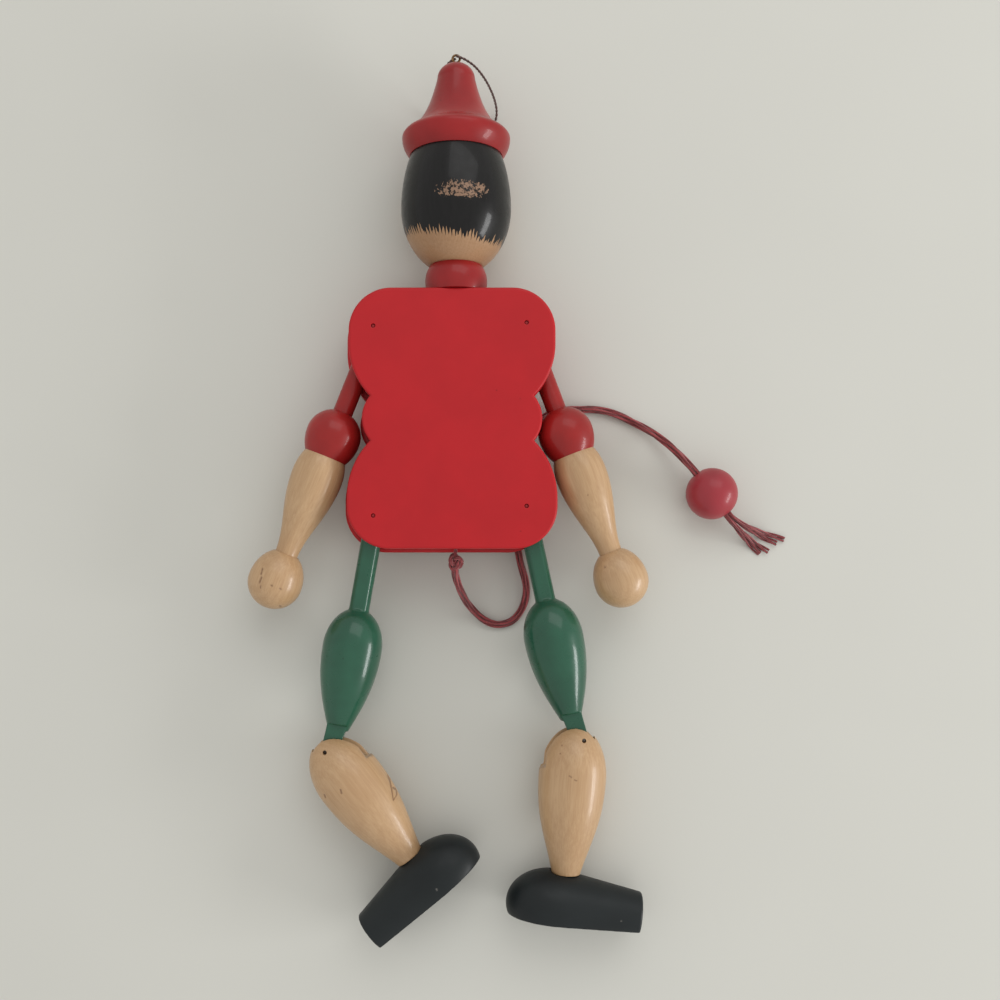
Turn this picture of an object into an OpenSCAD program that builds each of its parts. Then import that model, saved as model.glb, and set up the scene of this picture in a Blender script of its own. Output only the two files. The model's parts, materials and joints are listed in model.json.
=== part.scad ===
// Pull string jumping jack: a turned wooden figure lying on its face, back upward.
// Millimetres. Origin on the back board's outer face, midway between the pivots,
// +Z out of the back, +Y toward the head, +X to the right of the back view.

/* [Torso boards] */
// Height of the two torso boards
board_h = 97.8; // [92:0.2:110]
// Thickness of each board
board_t = 6; // [4:0.5:8]
// Gap between the boards, where the limbs swing
gap = 8.6; // [8.4:0.2:12]
// Widest width of the shoulder lobe
shoulder_w = 77.5; // [74:0.5:84]
// Widest width of the waist lobe
waist_w = 67.6; // [65:0.2:68]
// Widest width of the hip lobe
hip_w = 79; // [75:0.5:80]
// Width of the boards at the notches
notch_w = 61.5; // [58:0.5:63]
// Height of the notches above and below the middle
notch_y = 8.4; // [7:0.2:10]
// Height of the widest shoulder point above the middle
shoulder_y = 28; // [24:0.5:30]
// Depth of the widest hip point below the middle
hip_y = 30; // [26:0.5:31]
// Radius of the four outer corners
corner_r = 16; // [12:0.5:17]
// How far the back board is set to the right
back_shift_x = 0.8; // [0:0.1:1]
// How far the front board is set to the left
front_shift_x = 1.2; // [0:0.1:1.4]
// How far the front board is set down
front_shift_y = 1; // [0:0.5:2]

/* [Pivots] */
// Distance of each pivot from the centre line
pivot_x = 28.7; // [27:0.1:31]
// Height of the arm pivots above the middle
arm_pivot_y = 35.1; // [33:0.1:38]
// Depth of the hip pivots below the middle
hip_pivot_y = 34.7; // [33:0.1:38]
// How much the right arm's pivot sits higher, and the left one lower
arm_skew = 0.6; // [0:0.1:1]
// How much the right hip's pivot sits higher, and the left one lower
hip_skew = 1.8; // [0:0.1:2]
// Diameter of the pivot pins
pin_d = 1.6; // [1.2:0.1:2]
// How far the pin ends are sunk below the faces they show on
pin_inset = 0.5; // [0.2:0.1:1]
// Further depth of the knee pins below the shin's dome
knee_pin_sink = 1; // [0.8:0.1:2]
// Radial play of a limb on its pin
pin_play = 0.08; // [0.05:0.01:0.1]
// Radial room where a piece is glued or pressed in
glue_fit = 0.02; // [0.01:0.01:0.05]

/* [Inner blocks] */
// Width of the neck block between the boards
neck_block_w = 18; // [16:1:20]
// Height of the neck block
neck_block_h = 8.5; // [7:0.5:9]
// Width of each waist block
waist_block_w = 12; // [8:1:12]
// Height of each waist block
waist_block_h = 24; // [16:1:24]
// Distance of the waist blocks' middles from the centre line
waist_block_x = 18; // [16:0.5:19]
// Height of the waist blocks' middles above the middle
waist_block_y = 4; // [0:0.5:5]

/* [Head and hat] */
// How far the neck is set to the right
neck_x = 2.2; // [0:0.1:2.4]
// Diameter of the neck dowel
neck_dowel_d = 6; // [4:0.5:6]
// How far the neck dowel reaches into its end pieces
neck_dowel_in = 8; // [6:0.5:8.5]
// Height of the collar
collar_h = 10.4; // [8:0.2:14]
// Largest diameter of the collar
collar_d = 23.7; // [22:0.1:26]
// Diameter of the collar's top
collar_top_d = 19.8; // [16:0.1:21]
// Diameter of the collar's bottom
collar_bottom_d = 22.8; // [21:0.1:23.5]
// Height of the collar's widest ring
collar_widest_y = 4.4; // [3:0.1:6]
// Height of the head from collar to hat
head_h = 41.7; // [38:0.1:46]
// Largest diameter of the head
head_d = 42; // [38:0.2:46]
// Diameter of the head under the hat
head_top_d = 35; // [32:0.2:37]
// Diameter of the head's foot on the collar
head_foot_d = 20.2; // [18:0.2:24]
// Height of the head's widest ring above the collar
head_widest_y = 21.7; // [19:0.1:24]
// Height of the hat
hat_h = 35.9; // [33:0.1:42]
// Largest diameter of the hat's brim
brim_d = 41.3; // [38:0.1:46]
// Diameter of the hat's base
hat_base_d = 35.6; // [32:0.1:37]
// Height of the brim's widest ring
brim_widest_y = 6.9; // [6:0.1:8]
// Height where the brim turns into the cone
brim_top_y = 10.4; // [9.5:0.1:12]
// Diameter where the brim turns into the cone
brim_top_d = 33.6; // [32:0.1:36]
// Height at which the cone draws in
cone_draw_y = 14.8; // [13:0.1:17]
// Diameter to which the cone draws in
cone_draw_d = 21.8; // [19:0.1:24]
// Height at which the round tip starts
tip_y = 29.9; // [27:0.1:31]
// Diameter of the tip
tip_d = 14.4; // [12:0.1:16]

/* [Screw eye] */
// Diameter of the eye's wire
eye_wire_d = 0.9; // [0.8:0.05:1]
// Diameter of the ring at the middle of the wire
eye_ring_d = 2.8; // [2.6:0.1:3.6]
// Length of the shank in the hat
eye_shank_l = 9; // [6:0.5:12]

/* [Arms] */
// Diameter of the arm rod
rod_d = 7.6; // [6.5:0.1:8]
// Diameter of the sleeve ball
ball_d = 21; // [19:0.1:21.2]
// Distance of the ball's middle from the pivot
ball_u = 43.4; // [43:0.1:48]
// Length of the ball past its middle, to the forearm
ball_tail = 8.4; // [7:0.1:9]
// Diameter of the joint face between sleeve and forearm
cuff_d = 16.2; // [14:0.1:17]
// Largest diameter of the forearm
forearm_d = 19.5; // [18:0.1:21]
// Distance of the forearm's widest ring from the cuff
forearm_widest = 8.2; // [7:0.1:10]
// Length of the forearm from cuff to wrist
forearm_l = 39.9; // [36:0.1:45]
// Length over which the forearm keeps its belly
forearm_belly = 13.3; // [11:0.1:15]
// Length over which the forearm runs out into the wrist
wrist_run = 10; // [8:0.5:12]
// Diameter of the wrist
wrist_d = 8.7; // [8:0.1:10]
// Step from the wrist out to the hand
hand_step = 0.4; // [0.2:0.1:0.8]
// Diameter of the hand
hand_d = 20.7; // [18:0.1:22]
// Distance of the hand's widest ring from the wrist
hand_widest = 11.6; // [9:0.1:12]
// Length of the hand
hand_l = 21.9; // [20:0.1:24]
// Diameter of the dowel in the cuff joint
arm_dowel_d = 5; // [4:0.5:6]
// Length of the dowel in the cuff joint
arm_dowel_l = 14; // [10:1:16]
// Distance of the arm's string hole from the pivot
arm_tail_u = 8; // [7:0.5:9]
// Left arm's angle from straight down
left_arm_angle = 21.8; // [21.4:0.2:26]
// Right arm's angle from straight down
right_arm_angle = 20.8; // [20.4:0.2:26]

/* [Thighs] */
// Width of the thigh stem
stem_w = 7.75; // [7:0.05:8.2]
// Thickness of the thigh stem between its flats
stem_t = 6.4; // [5:0.1:7.4]
// Distance of the thigh's shoulder from the hip
thigh_shoulder = 36.5; // [34:0.5:38]
// Distance of the thigh's widest ring from the hip
thigh_widest = 51; // [48:0.5:54]
// Largest diameter of the thigh
thigh_d = 22.7; // [20:0.1:24]
// Length over which the thigh keeps its belly
thigh_belly = 14.6; // [12:0.1:17]
// Length over which the thigh runs out into its neck
neck_run = 8; // [6:0.5:10]
// Flare of that run above the neck
neck_flare = 3; // [2:0.1:4]
// Distance of the thigh's neck from the knee pin
neck_to_knee = 8.2; // [7.8:0.1:9]
// Width of the knee tongue
tongue_w = 8; // [7:0.1:8]
// Thickness of the knee tongue
tongue_t = 6; // [5:0.1:6.2]
// Distance of the tongue's flats from the knee pin
tongue_flat_l = 10.5; // [10:0.1:12]
// Distance from the hip to the knee pin
thigh_l = 90.8; // [89:0.1:95]
// Offset of the knee pin toward the toe side
knee_shift = 2.6; // [1:0.1:3]
// Distance of the thigh's string hole from the hip
leg_tail_u = 14; // [13:0.5:15]
// Left thigh's angle from straight down
left_thigh_angle = 10; // [8:0.2:14]
// Right thigh's angle from straight down
right_thigh_angle = 12.2; // [10:0.2:15]

/* [Shins and shoes] */
// Height of the shin's dome above the knee pin
shin_top = 4.7; // [4:0.1:5.5]
// Offset of the left shin's axis from the knee pin, toward the inner side
left_shin_shift = -0.4; // [-1:0.1:3]
// Offset of the right shin's axis from the knee pin, toward the inner side
right_shin_shift = 2.8; // [-1:0.1:3]
// Distance of the shin's widest ring from the knee pin
shin_widest = 15; // [13:0.5:17]
// Largest diameter of the shin
shin_d = 25.8; // [24:0.1:26.5]
// Distance of the shin's end from the knee pin
shin_end = 52; // [50:0.2:56]
// Length over which the shin keeps its belly
shin_belly = 17; // [14:0.1:20]
// Length over which the shin runs out into the ankle
ankle_run = 12.8; // [10:0.1:15]
// Flare of that run above the ankle
ankle_flare = 3.2; // [2:0.1:4]
// Diameter of the ankle
ankle_d = 10.8; // [10:0.1:11.5]
// Side room of the tongue in the knee slot
slot_room = 0.5; // [0.3:0.1:0.7]
// Room between the tongue's round end and the slot
slot_end_room = 0.5; // [0.4:0.1:0.8]
// Depth of the knee slot below the pin, on the inner side
slot_depth = 13; // [11:0.5:15]
// Distance of the step in the shin's inner side below the pin
knee_step = 11.5; // [10:0.5:12]
// Depth to which the inner side is cut back above that step
knee_trim = 2; // [1.5:0.1:2.5]
// Left knee's bend as it lies
left_knee_angle = 48; // [40:0.2:50]
// Right knee's bend as it lies
right_knee_angle = 16.1; // [10:0.1:18]
// Length of the shoe
shoe_l = 51.4; // [48:0.2:56]
// Largest diameter of the turned shoe
shoe_d = 27; // [26:0.2:29]
// Distance of the shoe's widest ring from the heel
shoe_widest = 17; // [15:0.5:18]
// Distance at which the shoe's straight taper starts
taper_start = 24; // [22:0.5:26]
// Diameter at which the straight taper starts
taper_d = 25.8; // [24:0.1:26]
// Diameter of the toe
toe_d = 17.4; // [15:0.1:19]
// Chamfer round the toe's flat end
toe_edge = 0.6; // [0.4:0.1:1]
// Depth of the flat sole below the shoe's axis
sole_depth = 5; // [4:0.1:6]
// Distance of the ankle from the heel's end
ankle_from_heel = 21.5; // [20:0.1:24]
// Height of the ankle seat above the shoe's axis
ankle_seat = 12.4; // [11.5:0.1:12.5]
// Turn of the shoe about the ankle, toe down
shoe_tilt = 3; // [0:0.5:4]
// Room around the ankle in the shoe's seat
ankle_room = 0.9; // [0.8:0.1:1.2]
// Diameter of the ankle dowel
ankle_dowel_d = 6; // [4:0.5:7]
// Length of the ankle dowel
ankle_dowel_l = 15; // [12:1:18]

/* [Strings] */
// Diameter of the inner strings
string_d = 1.6; // [1.2:0.1:1.8]
// Diameter of the holes in the limbs' tails
string_hole_d = 2; // [1.9:0.1:2.4]
// Thickness of the limbs' flattened tails
tail_t = 3.6; // [3:0.1:3.8]
// Room between a string and the wood it passes
string_room = 0.35; // [0.3:0.05:0.5]
// Stroke of the strings, from rest to full swing
stroke = 15.5; // [14:0.1:16]
// Swing of the arms at full stroke
arm_swing = 60; // [50:1:65]
// Swing of the legs at full stroke
leg_swing = 36; // [30:1:38]
// Diameter of the knots on the centre string
tie_d = 2.5; // [2.2:0.1:2.6]
// How far the centre string hangs to the right
string_x = 2; // [0:0.1:2.2]
// Diameter of the knot under the torso
knot_d = 5; // [4:0.1:6]
// Depth of the flats on that knot, where the string and the cord meet it
knot_cut = 0.2; // [0.1:0.1:0.4]
// Distance of that knot's middle below the boards
knot_drop = 5; // [4.5:0.1:7]

/* [Pull cord and bead] */
// Diameter of the pull cord
cord_d = 3.2; // [2.6:0.1:3.4]
// Diameter of the pull bead
bead_d = 20; // [18:0.5:22]
// Diameter of the bead's hole
bead_hole_d = 4.4; // [4.2:0.1:5]
// Straight run of the cord below its knot and before the bead's mouth
cord_straight = 1; // [0.5:0.5:2]
// Straight run of the cord inside the bead's mouth
cord_inside = 4; // [3:0.5:5]
// Diameter of a loose strand of the cord's tail
strand_d = 1.4; // [1:0.1:1.4]
// Diameter of the hanging thread
thread_d = 0.9; // [0.6:0.1:0.9]

/* [Hidden] */
$fn = 96;
curve_steps = 6;
join = 0.5;
tiny = 0.001;
reach = 40;
string_taper = 0.1;
floor_room = 0.1;

left = -1;
right = 1;
limb_z = -board_t - gap / 2;
front_z = -2 * board_t - gap;
board_top = board_h / 2;
pin_hole_r = pin_d / 2 + pin_play;
pin_seat_r = pin_d / 2 + glue_fit;
head_y = board_top + collar_h;
hat_y = head_y + head_h;
eye_y = hat_y + hat_h + eye_ring_d / 2 + eye_wire_d / 2;
slot_t = tongue_t + 2 * slot_room;
cuff_u = ball_u + ball_tail;
thigh_neck = thigh_l - neck_to_knee;
string_z = tail_t / 2 + string_room + string_d / 2;

// Colours as painted and varnished
red_paint = [0.66, 0.14, 0.17];
crimson_paint = [0.56, 0.16, 0.19];
green_paint = [0.15, 0.32, 0.24];
slate_paint = [0.15, 0.17, 0.18];
bare_wood = [0.74, 0.6, 0.44];
steel = [0.55, 0.55, 0.57];
brass = [0.75, 0.6, 0.3];
red_cord = [0.6, 0.16, 0.2];
dark_thread = [0.3, 0.1, 0.1];

// Half of a turned bulge: an elliptic arc from the widest ring to a ring of end_r, run apart
function bulge(widest, r, run, end_r) =
  let (b = run / sqrt(1 - pow(end_r / r, 2)))
  [for (i = [0 : curve_steps]) let (a = asin(run / b) * i / curve_steps)
    [widest + b * sin(a), r * cos(a)]];

// The same arc, run from its end to the widest ring
function bulge_in(widest, r, run, end_r) =
  let (p = bulge(0, r, run, end_r))
  [for (i = [0 : curve_steps]) [widest - p[curve_steps - i][0], p[curve_steps - i][1]]];

// Bezier curves through a turned taper
function bezier3(a, b, c) =
  [for (i = [1 : curve_steps]) let (t = i / curve_steps)
    pow(1 - t, 2) * a + 2 * t * (1 - t) * b + t * t * c];
function bezier4(a, b, c, d) =
  [for (i = [1 : 2 * curve_steps]) let (t = i / curve_steps / 2)
    pow(1 - t, 3) * a + 3 * t * pow(1 - t, 2) * b + 3 * t * t * (1 - t) * c + pow(t, 3) * d];

// A turned solid along +Z, from points of distance and radius
module turned(profile) {
  last = len(profile) - 1;
  foot = profile[0][1] > tiny ? [[0, profile[0][0]]] : [];
  top = profile[last][1] > tiny ? [[0, profile[last][0]]] : [];
  rim = [for (p = profile) [p[1] > tiny ? p[1] : 0, p[0]]];
  rotate_extrude() polygon(concat(foot, rim, top));
}

// Places for turned pieces and limbs
module up_the_neck(y) translate([neck_x, y, limb_z]) rotate([-90, 0, 0]) children();
module down_the_limb(u) translate([0, -u, 0]) rotate([90, 0, 0]) children();
function arm_pivot(side) = [side * pivot_x, arm_pivot_y + side * arm_skew];
function hip_pivot(side) = [side * pivot_x, side * hip_skew - hip_pivot_y];
module on_limb(side, pivot, angle)
  translate([pivot[0], pivot[1], limb_z])
    rotate([0, 0, side * angle]) mirror([side < 0 ? 1 : 0, 0, 0]) children();
module on_arm(side)
  on_limb(side, arm_pivot(side), side < 0 ? left_arm_angle : right_arm_angle) children();
module on_thigh(side)
  on_limb(side, hip_pivot(side), side < 0 ? left_thigh_angle : right_thigh_angle) children();
module on_knee(side)
  on_thigh(side) translate([knee_shift, -thigh_l, 0])
    rotate([0, 0, side < 0 ? -left_knee_angle : -right_knee_angle]) children();
function shin_shift(side) = side < 0 ? left_shin_shift : right_shin_shift;
module on_shin(side) on_knee(side) translate([-shin_shift(side), 0, 0]) children();
module on_ankle(side) on_shin(side) translate([0, -shin_end, 0]) rotate([0, 0, -shoe_tilt]) children();
module on_shoe(side)
  on_ankle(side) translate([-ankle_from_heel, -ankle_seat, 0]) rotate([0, 90, 0]) children();

// Torso outline: arcs between the lobes, the notches and the corners
function arc_points(c, r, from, to) =
  [for (i = [0 : curve_steps]) let (a = from + (to - from) * i / curve_steps)
    c + r * [cos(a), sin(a)]];
function lobe_r(depth, height) = (depth * depth + height * height) / (2 * depth);
function half_outline() =
  let (
    shoulder_r = lobe_r((shoulder_w - notch_w) / 2, shoulder_y - notch_y),
    waist_r = lobe_r((waist_w - notch_w) / 2, notch_y),
    hip_r = lobe_r((hip_w - notch_w) / 2, hip_y - notch_y)
  )
  concat(
    arc_points([hip_w / 2 - corner_r, corner_r - board_top], corner_r, -90, 0),
    arc_points([hip_w / 2 - hip_r, -hip_y], hip_r, 0, asin((hip_y - notch_y) / hip_r)),
    arc_points([waist_w / 2 - waist_r, 0], waist_r, 0 - asin(notch_y / waist_r), asin(notch_y / waist_r)),
    arc_points([shoulder_w / 2 - shoulder_r, shoulder_y], shoulder_r,
      -asin((shoulder_y - notch_y) / shoulder_r), 0),
    arc_points([shoulder_w / 2 - corner_r, board_top - corner_r], corner_r, 0, 90)
  );
module board() {
  half = half_outline();
  other = [for (i = [len(half) - 1 : -1 : 0]) [-half[i][0], half[i][1]]];
  linear_extrude(board_t) polygon(concat(half, other));
}
arm_pivots = [arm_pivot(left), arm_pivot(right)];
hip_pivots = [hip_pivot(left), hip_pivot(right)];
module pivot_holes()
  for (p = concat(arm_pivots, hip_pivots))
    translate([p[0], p[1], front_z - join]) cylinder(r = pin_seat_r, h = -front_z + 2 * join);
module pivot_pins(places)
  color(steel) for (p = places)
    translate([p[0], p[1], front_z + pin_inset]) cylinder(d = pin_d, h = -front_z - 2 * pin_inset);

module back_board()
  color(red_paint) difference() {
    translate([back_shift_x, 0, -board_t]) board();
    pivot_holes();
  }
module front_board()
  color(red_paint) difference() {
    translate([-front_shift_x, -front_shift_y, front_z]) board();
    pivot_holes();
  }
module arm_pivot_pins() pivot_pins(arm_pivots);
module hip_pivot_pins() pivot_pins(hip_pivots);
module neck_block()
  color(bare_wood) difference() {
    translate([neck_x - neck_block_w / 2, board_top - neck_block_h - front_shift_y, -board_t - gap])
      cube([neck_block_w, neck_block_h + front_shift_y, gap]);
    up_the_neck(board_top - neck_dowel_in) cylinder(d = neck_dowel_d + 2 * glue_fit, h = reach);
  }
module waist_blocks()
  color(bare_wood) for (side = [left, right])
    translate([side * waist_block_x - waist_block_w / 2, waist_block_y - waist_block_h / 2, -board_t - gap])
      cube([waist_block_w, waist_block_h, gap]);

// Neck, head and hat, threaded on one dowel
neck_dowel_l = neck_dowel_in + collar_h + head_h + neck_dowel_in;
module neck_bore(y, l) up_the_neck(y) cylinder(d = neck_dowel_d + 2 * glue_fit, h = l);
module neck_dowel()
  color(bare_wood) up_the_neck(board_top - neck_dowel_in) cylinder(d = neck_dowel_d, h = neck_dowel_l);
module collar()
  color(crimson_paint) difference() {
    up_the_neck(board_top) turned(concat(
      bulge_in(collar_widest_y, collar_d / 2, collar_widest_y, collar_bottom_d / 2),
      bulge(collar_widest_y, collar_d / 2, collar_h - collar_widest_y, collar_top_d / 2)));
    neck_bore(board_top - join, collar_h + 2 * join);
  }
module head()
  color(bare_wood) difference() {
    up_the_neck(head_y) turned(concat(
      bulge_in(head_widest_y, head_d / 2, head_widest_y, head_foot_d / 2),
      bulge(head_widest_y, head_d / 2, head_h - head_widest_y, head_top_d / 2)));
    neck_bore(head_y - join, head_h + 2 * join);
  }
module hat()
  color(crimson_paint) difference() {
    up_the_neck(hat_y) turned(concat(
      bulge_in(brim_widest_y, brim_d / 2, brim_widest_y, hat_base_d / 2),
      bulge(brim_widest_y, brim_d / 2, brim_top_y - brim_widest_y, brim_top_d / 2),
      bezier3([brim_top_y, brim_top_d / 2], [cone_draw_y, cone_draw_d / 2], [tip_y, tip_d / 2]),
      bulge(tip_y, tip_d / 2, hat_h - tip_y, 0)));
    neck_bore(hat_y - join, neck_dowel_in + join);
    up_the_neck(hat_y + hat_h - eye_shank_l) cylinder(d = eye_wire_d + 2 * glue_fit, h = reach);
  }
module screw_eye()
  color(brass) {
    translate([neck_x, eye_y, limb_z]) rotate_extrude()
      translate([eye_ring_d / 2, 0]) circle(d = eye_wire_d);
    up_the_neck(hat_y + hat_h - eye_shank_l)
      cylinder(d = eye_wire_d, h = eye_shank_l + eye_wire_d / 2);
  }

// Arms: a painted sleeve with a flat tail, and a bare forearm with its hand
arm_tail_end = arm_tail_u + rod_d / 2;
module tail_flats(from, to, w)
  for (s = [-1, 1])
    translate([-w, from, s * (tail_t / 2 + w) - w]) cube([2 * w, to - from + join, 2 * w]);
module pin_hole(d) translate([0, 0, -reach / 2]) cylinder(d = d, h = reach);
module sleeve(side)
  color(red_paint) on_arm(side) difference() {
    down_the_limb(-arm_tail_end) turned([for (p = concat(
      [[-arm_tail_end, rod_d / 2]],
      bulge_in(ball_u, ball_d / 2, sqrt(ball_d * ball_d - rod_d * rod_d) / 2, rod_d / 2),
      bulge(ball_u, ball_d / 2, ball_tail, cuff_d / 2))) [p[0] + arm_tail_end, p[1]]]);
    tail_flats(arm_tail_u - rod_d / 2, arm_tail_end, rod_d);
    pin_hole(2 * pin_hole_r);
    translate([0, arm_tail_u, 0]) pin_hole(string_hole_d);
    down_the_limb(cuff_u - arm_dowel_l / 2) cylinder(d = arm_dowel_d + 2 * glue_fit, h = reach);
  }
module arm_dowel(side)
  color(bare_wood) on_arm(side) down_the_limb(cuff_u - arm_dowel_l / 2)
    cylinder(d = arm_dowel_d, h = arm_dowel_l);
module forearm(side)
  color(bare_wood) on_arm(side) difference() {
    down_the_limb(cuff_u) turned(concat(
      bulge_in(forearm_widest, forearm_d / 2, forearm_widest, cuff_d / 2),
      bezier4([forearm_widest, forearm_d / 2], [forearm_widest + forearm_belly, forearm_d / 2],
        [forearm_l - wrist_run, wrist_d / 2], [forearm_l, wrist_d / 2]),
      bulge_in(forearm_l + hand_widest, hand_d / 2, hand_widest, wrist_d / 2 + hand_step),
      bulge(forearm_l + hand_widest, hand_d / 2, hand_l - hand_widest, 0)));
    down_the_limb(cuff_u - join) cylinder(d = arm_dowel_d + 2 * glue_fit, h = arm_dowel_l / 2 + join);
  }

// Thighs: a flat stem with a tail, a round bulb and a flat knee tongue
leg_tail_end = leg_tail_u + stem_w / 2;
module tongue()
  linear_extrude(tongue_t, center = true) {
    polygon([
      [-tongue_w / 2, -thigh_neck + tongue_flat_l / 2], [tongue_w / 2, -thigh_neck + tongue_flat_l / 2],
      [knee_shift + tongue_w / 2, -thigh_l], [knee_shift - tongue_w / 2, -thigh_l]]);
    translate([knee_shift, -thigh_l]) circle(d = tongue_w);
  }
module slab_cut(from, to, t)
  for (s = [-1, 1])
    translate([-reach / 2, -to, s * (t / 2 + reach / 2) - reach / 2]) cube([reach, to - from, reach]);
module thigh(side)
  color(green_paint) on_thigh(side) difference() {
    union() {
      difference() {
        down_the_limb(-leg_tail_end) turned([for (p = concat(
          [[-leg_tail_end, stem_w / 2]],
          bulge_in(thigh_widest, thigh_d / 2, thigh_widest - thigh_shoulder, stem_w / 2),
          bezier4([thigh_widest, thigh_d / 2], [thigh_widest + thigh_belly, thigh_d / 2],
            [thigh_neck - neck_run, tongue_w / 2 + neck_flare], [thigh_neck, tongue_w / 2])))
          [p[0] + leg_tail_end, p[1]]]);
        slab_cut(-leg_tail_end - join, thigh_shoulder - join, stem_t);
        slab_cut(thigh_l - tongue_flat_l, thigh_l, tongue_t);
      }
      tongue();
    }
    tail_flats(leg_tail_u - stem_w / 2, leg_tail_end, stem_w);
    pin_hole(2 * pin_hole_r);
    translate([0, leg_tail_u, 0]) pin_hole(string_hole_d);
    translate([knee_shift, -thigh_l, 0]) pin_hole(2 * pin_hole_r);
  }

// Shins: a turned club, slotted from the top and the inner side for the tongue
knee_half = shin_d / 2 * sqrt(1 - pow(shin_widest / (shin_widest + shin_top), 2));
knee_pin_l = 2 * (knee_half - pin_inset - knee_pin_sink);
module knee_slot(side) {
  outer = tongue_w / 2 + slot_end_room;
  linear_extrude(slot_t, center = true) polygon([
    [outer, reach], [outer, -outer], [0, -outer],
    [-shin_shift(side) - shin_d / 2 - join, -slot_depth], [-shin_shift(side) - shin_d / 2 - join, reach]]);
}
module inner_trim() translate([knee_trim - shin_d / 2 - reach, -knee_step, -reach / 2]) cube(reach);
module shin(side)
  color(bare_wood) difference() {
    on_shin(side) down_the_limb(-shin_top) turned([for (p = concat(
      bulge_in(shin_widest, shin_d / 2, shin_widest + shin_top, 0),
      bezier4([shin_widest, shin_d / 2], [shin_widest + shin_belly, shin_d / 2],
        [shin_end - ankle_run, ankle_d / 2 + ankle_flare], [shin_end, ankle_d / 2])))
      [p[0] + shin_top, p[1]]]);
    on_knee(side) knee_slot(side);
    on_shin(side) inner_trim();
    on_knee(side) pin_hole(2 * pin_seat_r);
    on_shin(side) down_the_limb(shin_end - ankle_dowel_l / 2)
      cylinder(d = ankle_dowel_d + 2 * glue_fit, h = reach);
  }
module knee_pin(side)
  color(steel) on_knee(side) translate([0, 0, -knee_pin_l / 2]) cylinder(d = pin_d, h = knee_pin_l);
module ankle_dowel(side)
  color(bare_wood) on_shin(side) down_the_limb(shin_end - ankle_dowel_l / 2)
    cylinder(d = ankle_dowel_d, h = ankle_dowel_l);
module shoe(side)
  color(slate_paint) difference() {
    on_shoe(side) turned(concat(
      bulge_in(shoe_widest, shoe_d / 2, shoe_widest, 0),
      bezier3([shoe_widest, shoe_d / 2], [(shoe_widest + taper_start) / 2, shoe_d / 2],
        [taper_start, taper_d / 2]),
      [[shoe_l - toe_edge, toe_d / 2], [shoe_l, toe_d / 2 - toe_edge]]));
    on_ankle(side) translate([-reach, -ankle_seat - sole_depth - reach, -reach])
      cube([3 * reach, reach, 2 * reach]);
    on_shin(side) down_the_limb(shin_end - reach) cylinder(d = ankle_d + 2 * ankle_room, h = reach);
    on_shin(side) down_the_limb(shin_end - join)
      cylinder(d = ankle_dowel_d + 2 * glue_fit, h = ankle_dowel_l / 2 + join);
  }

// Limb strings: each hangs in its limb's tail and runs to a knot on the centre string
function turn(a, p) = [p[0] * cos(a) - p[1] * sin(a), p[0] * sin(a) + p[1] * cos(a)];
function tail_hole(y, u, angle) = [pivot_x, y] + turn(angle, [0, u]);
// Drop from the hole to the knot at which the string's length suits both ends of the stroke
function tie_drop(a, b) =
  let (fall = stroke + b[1] - a[1])
  (a[0] * a[0] - b[0] * b[0] - fall * fall) / (2 * fall);
arm_rest_angle = (left_arm_angle + right_arm_angle) / 2;
thigh_rest_angle = (left_thigh_angle + right_thigh_angle) / 2;
arm_hole = tail_hole(arm_pivot_y, arm_tail_u, arm_rest_angle);
arm_hole_end = tail_hole(arm_pivot_y, arm_tail_u, arm_rest_angle + arm_swing);
leg_hole = tail_hole(-hip_pivot_y, leg_tail_u, thigh_rest_angle);
leg_hole_end = tail_hole(-hip_pivot_y, leg_tail_u, thigh_rest_angle + leg_swing);
arm_tie_y = arm_hole[1] - tie_drop(arm_hole, arm_hole_end);
leg_tie_y = leg_hole[1] - tie_drop(leg_hole, leg_hole_end);
knot_y = -board_top - knot_drop;

module limb_string(side, hole, tie_y) {
  to_tie = [side * string_x, tie_y] - hole;
  l = norm(to_tie) - tie_d / 2 - glue_fit;
  color(red_cord) mirror([side < 0 ? 1 : 0, 0, 0]) translate([hole[0], hole[1], limb_z]) {
    translate([0, 0, -tail_t / 2 - string_room - string_d]) {
      cylinder(d = string_d, h = tail_t / 2 + string_room + string_d + string_z + string_d / 2);
      cylinder(d = string_hole_d + string_d / 2, h = string_d);
    }
    translate([0, 0, string_z]) rotate([0, 0, atan2(to_tie[1], to_tie[0])])
      rotate([0, 90, 0]) cylinder(d = string_d - string_taper, h = l);
  }
}
module arm_string(side) {
  angle = side < 0 ? left_arm_angle : right_arm_angle;
  limb_string(side, tail_hole(arm_pivot(side)[1], arm_tail_u, angle), arm_tie_y);
}
module leg_string(side) {
  angle = side < 0 ? left_thigh_angle : right_thigh_angle;
  limb_string(side, tail_hole(hip_pivot(side)[1], leg_tail_u, angle), leg_tie_y);
}
module along_string(y) translate([string_x, y, limb_z + string_z]) rotate([90, 0, 0]) children();
centre_top = arm_tie_y + tie_d / 2;
knot_flat = knot_d / 2 - knot_cut;
module centre_string()
  color(red_cord) along_string(centre_top) cylinder(d = string_d, h = centre_top - knot_y - knot_flat);
module string_ties()
  color(red_cord) for (y = [arm_tie_y, leg_tie_y])
    difference() {
      along_string(y) sphere(d = tie_d);
      along_string(y + reach / 2) cylinder(d = string_d + 2 * glue_fit, h = reach);
    }
module exit_knot()
  color(red_cord) intersection() {
    along_string(knot_y) sphere(d = knot_d);
    along_string(knot_y + knot_flat) cylinder(d = 2 * knot_d, h = 2 * knot_flat);
  }

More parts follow.
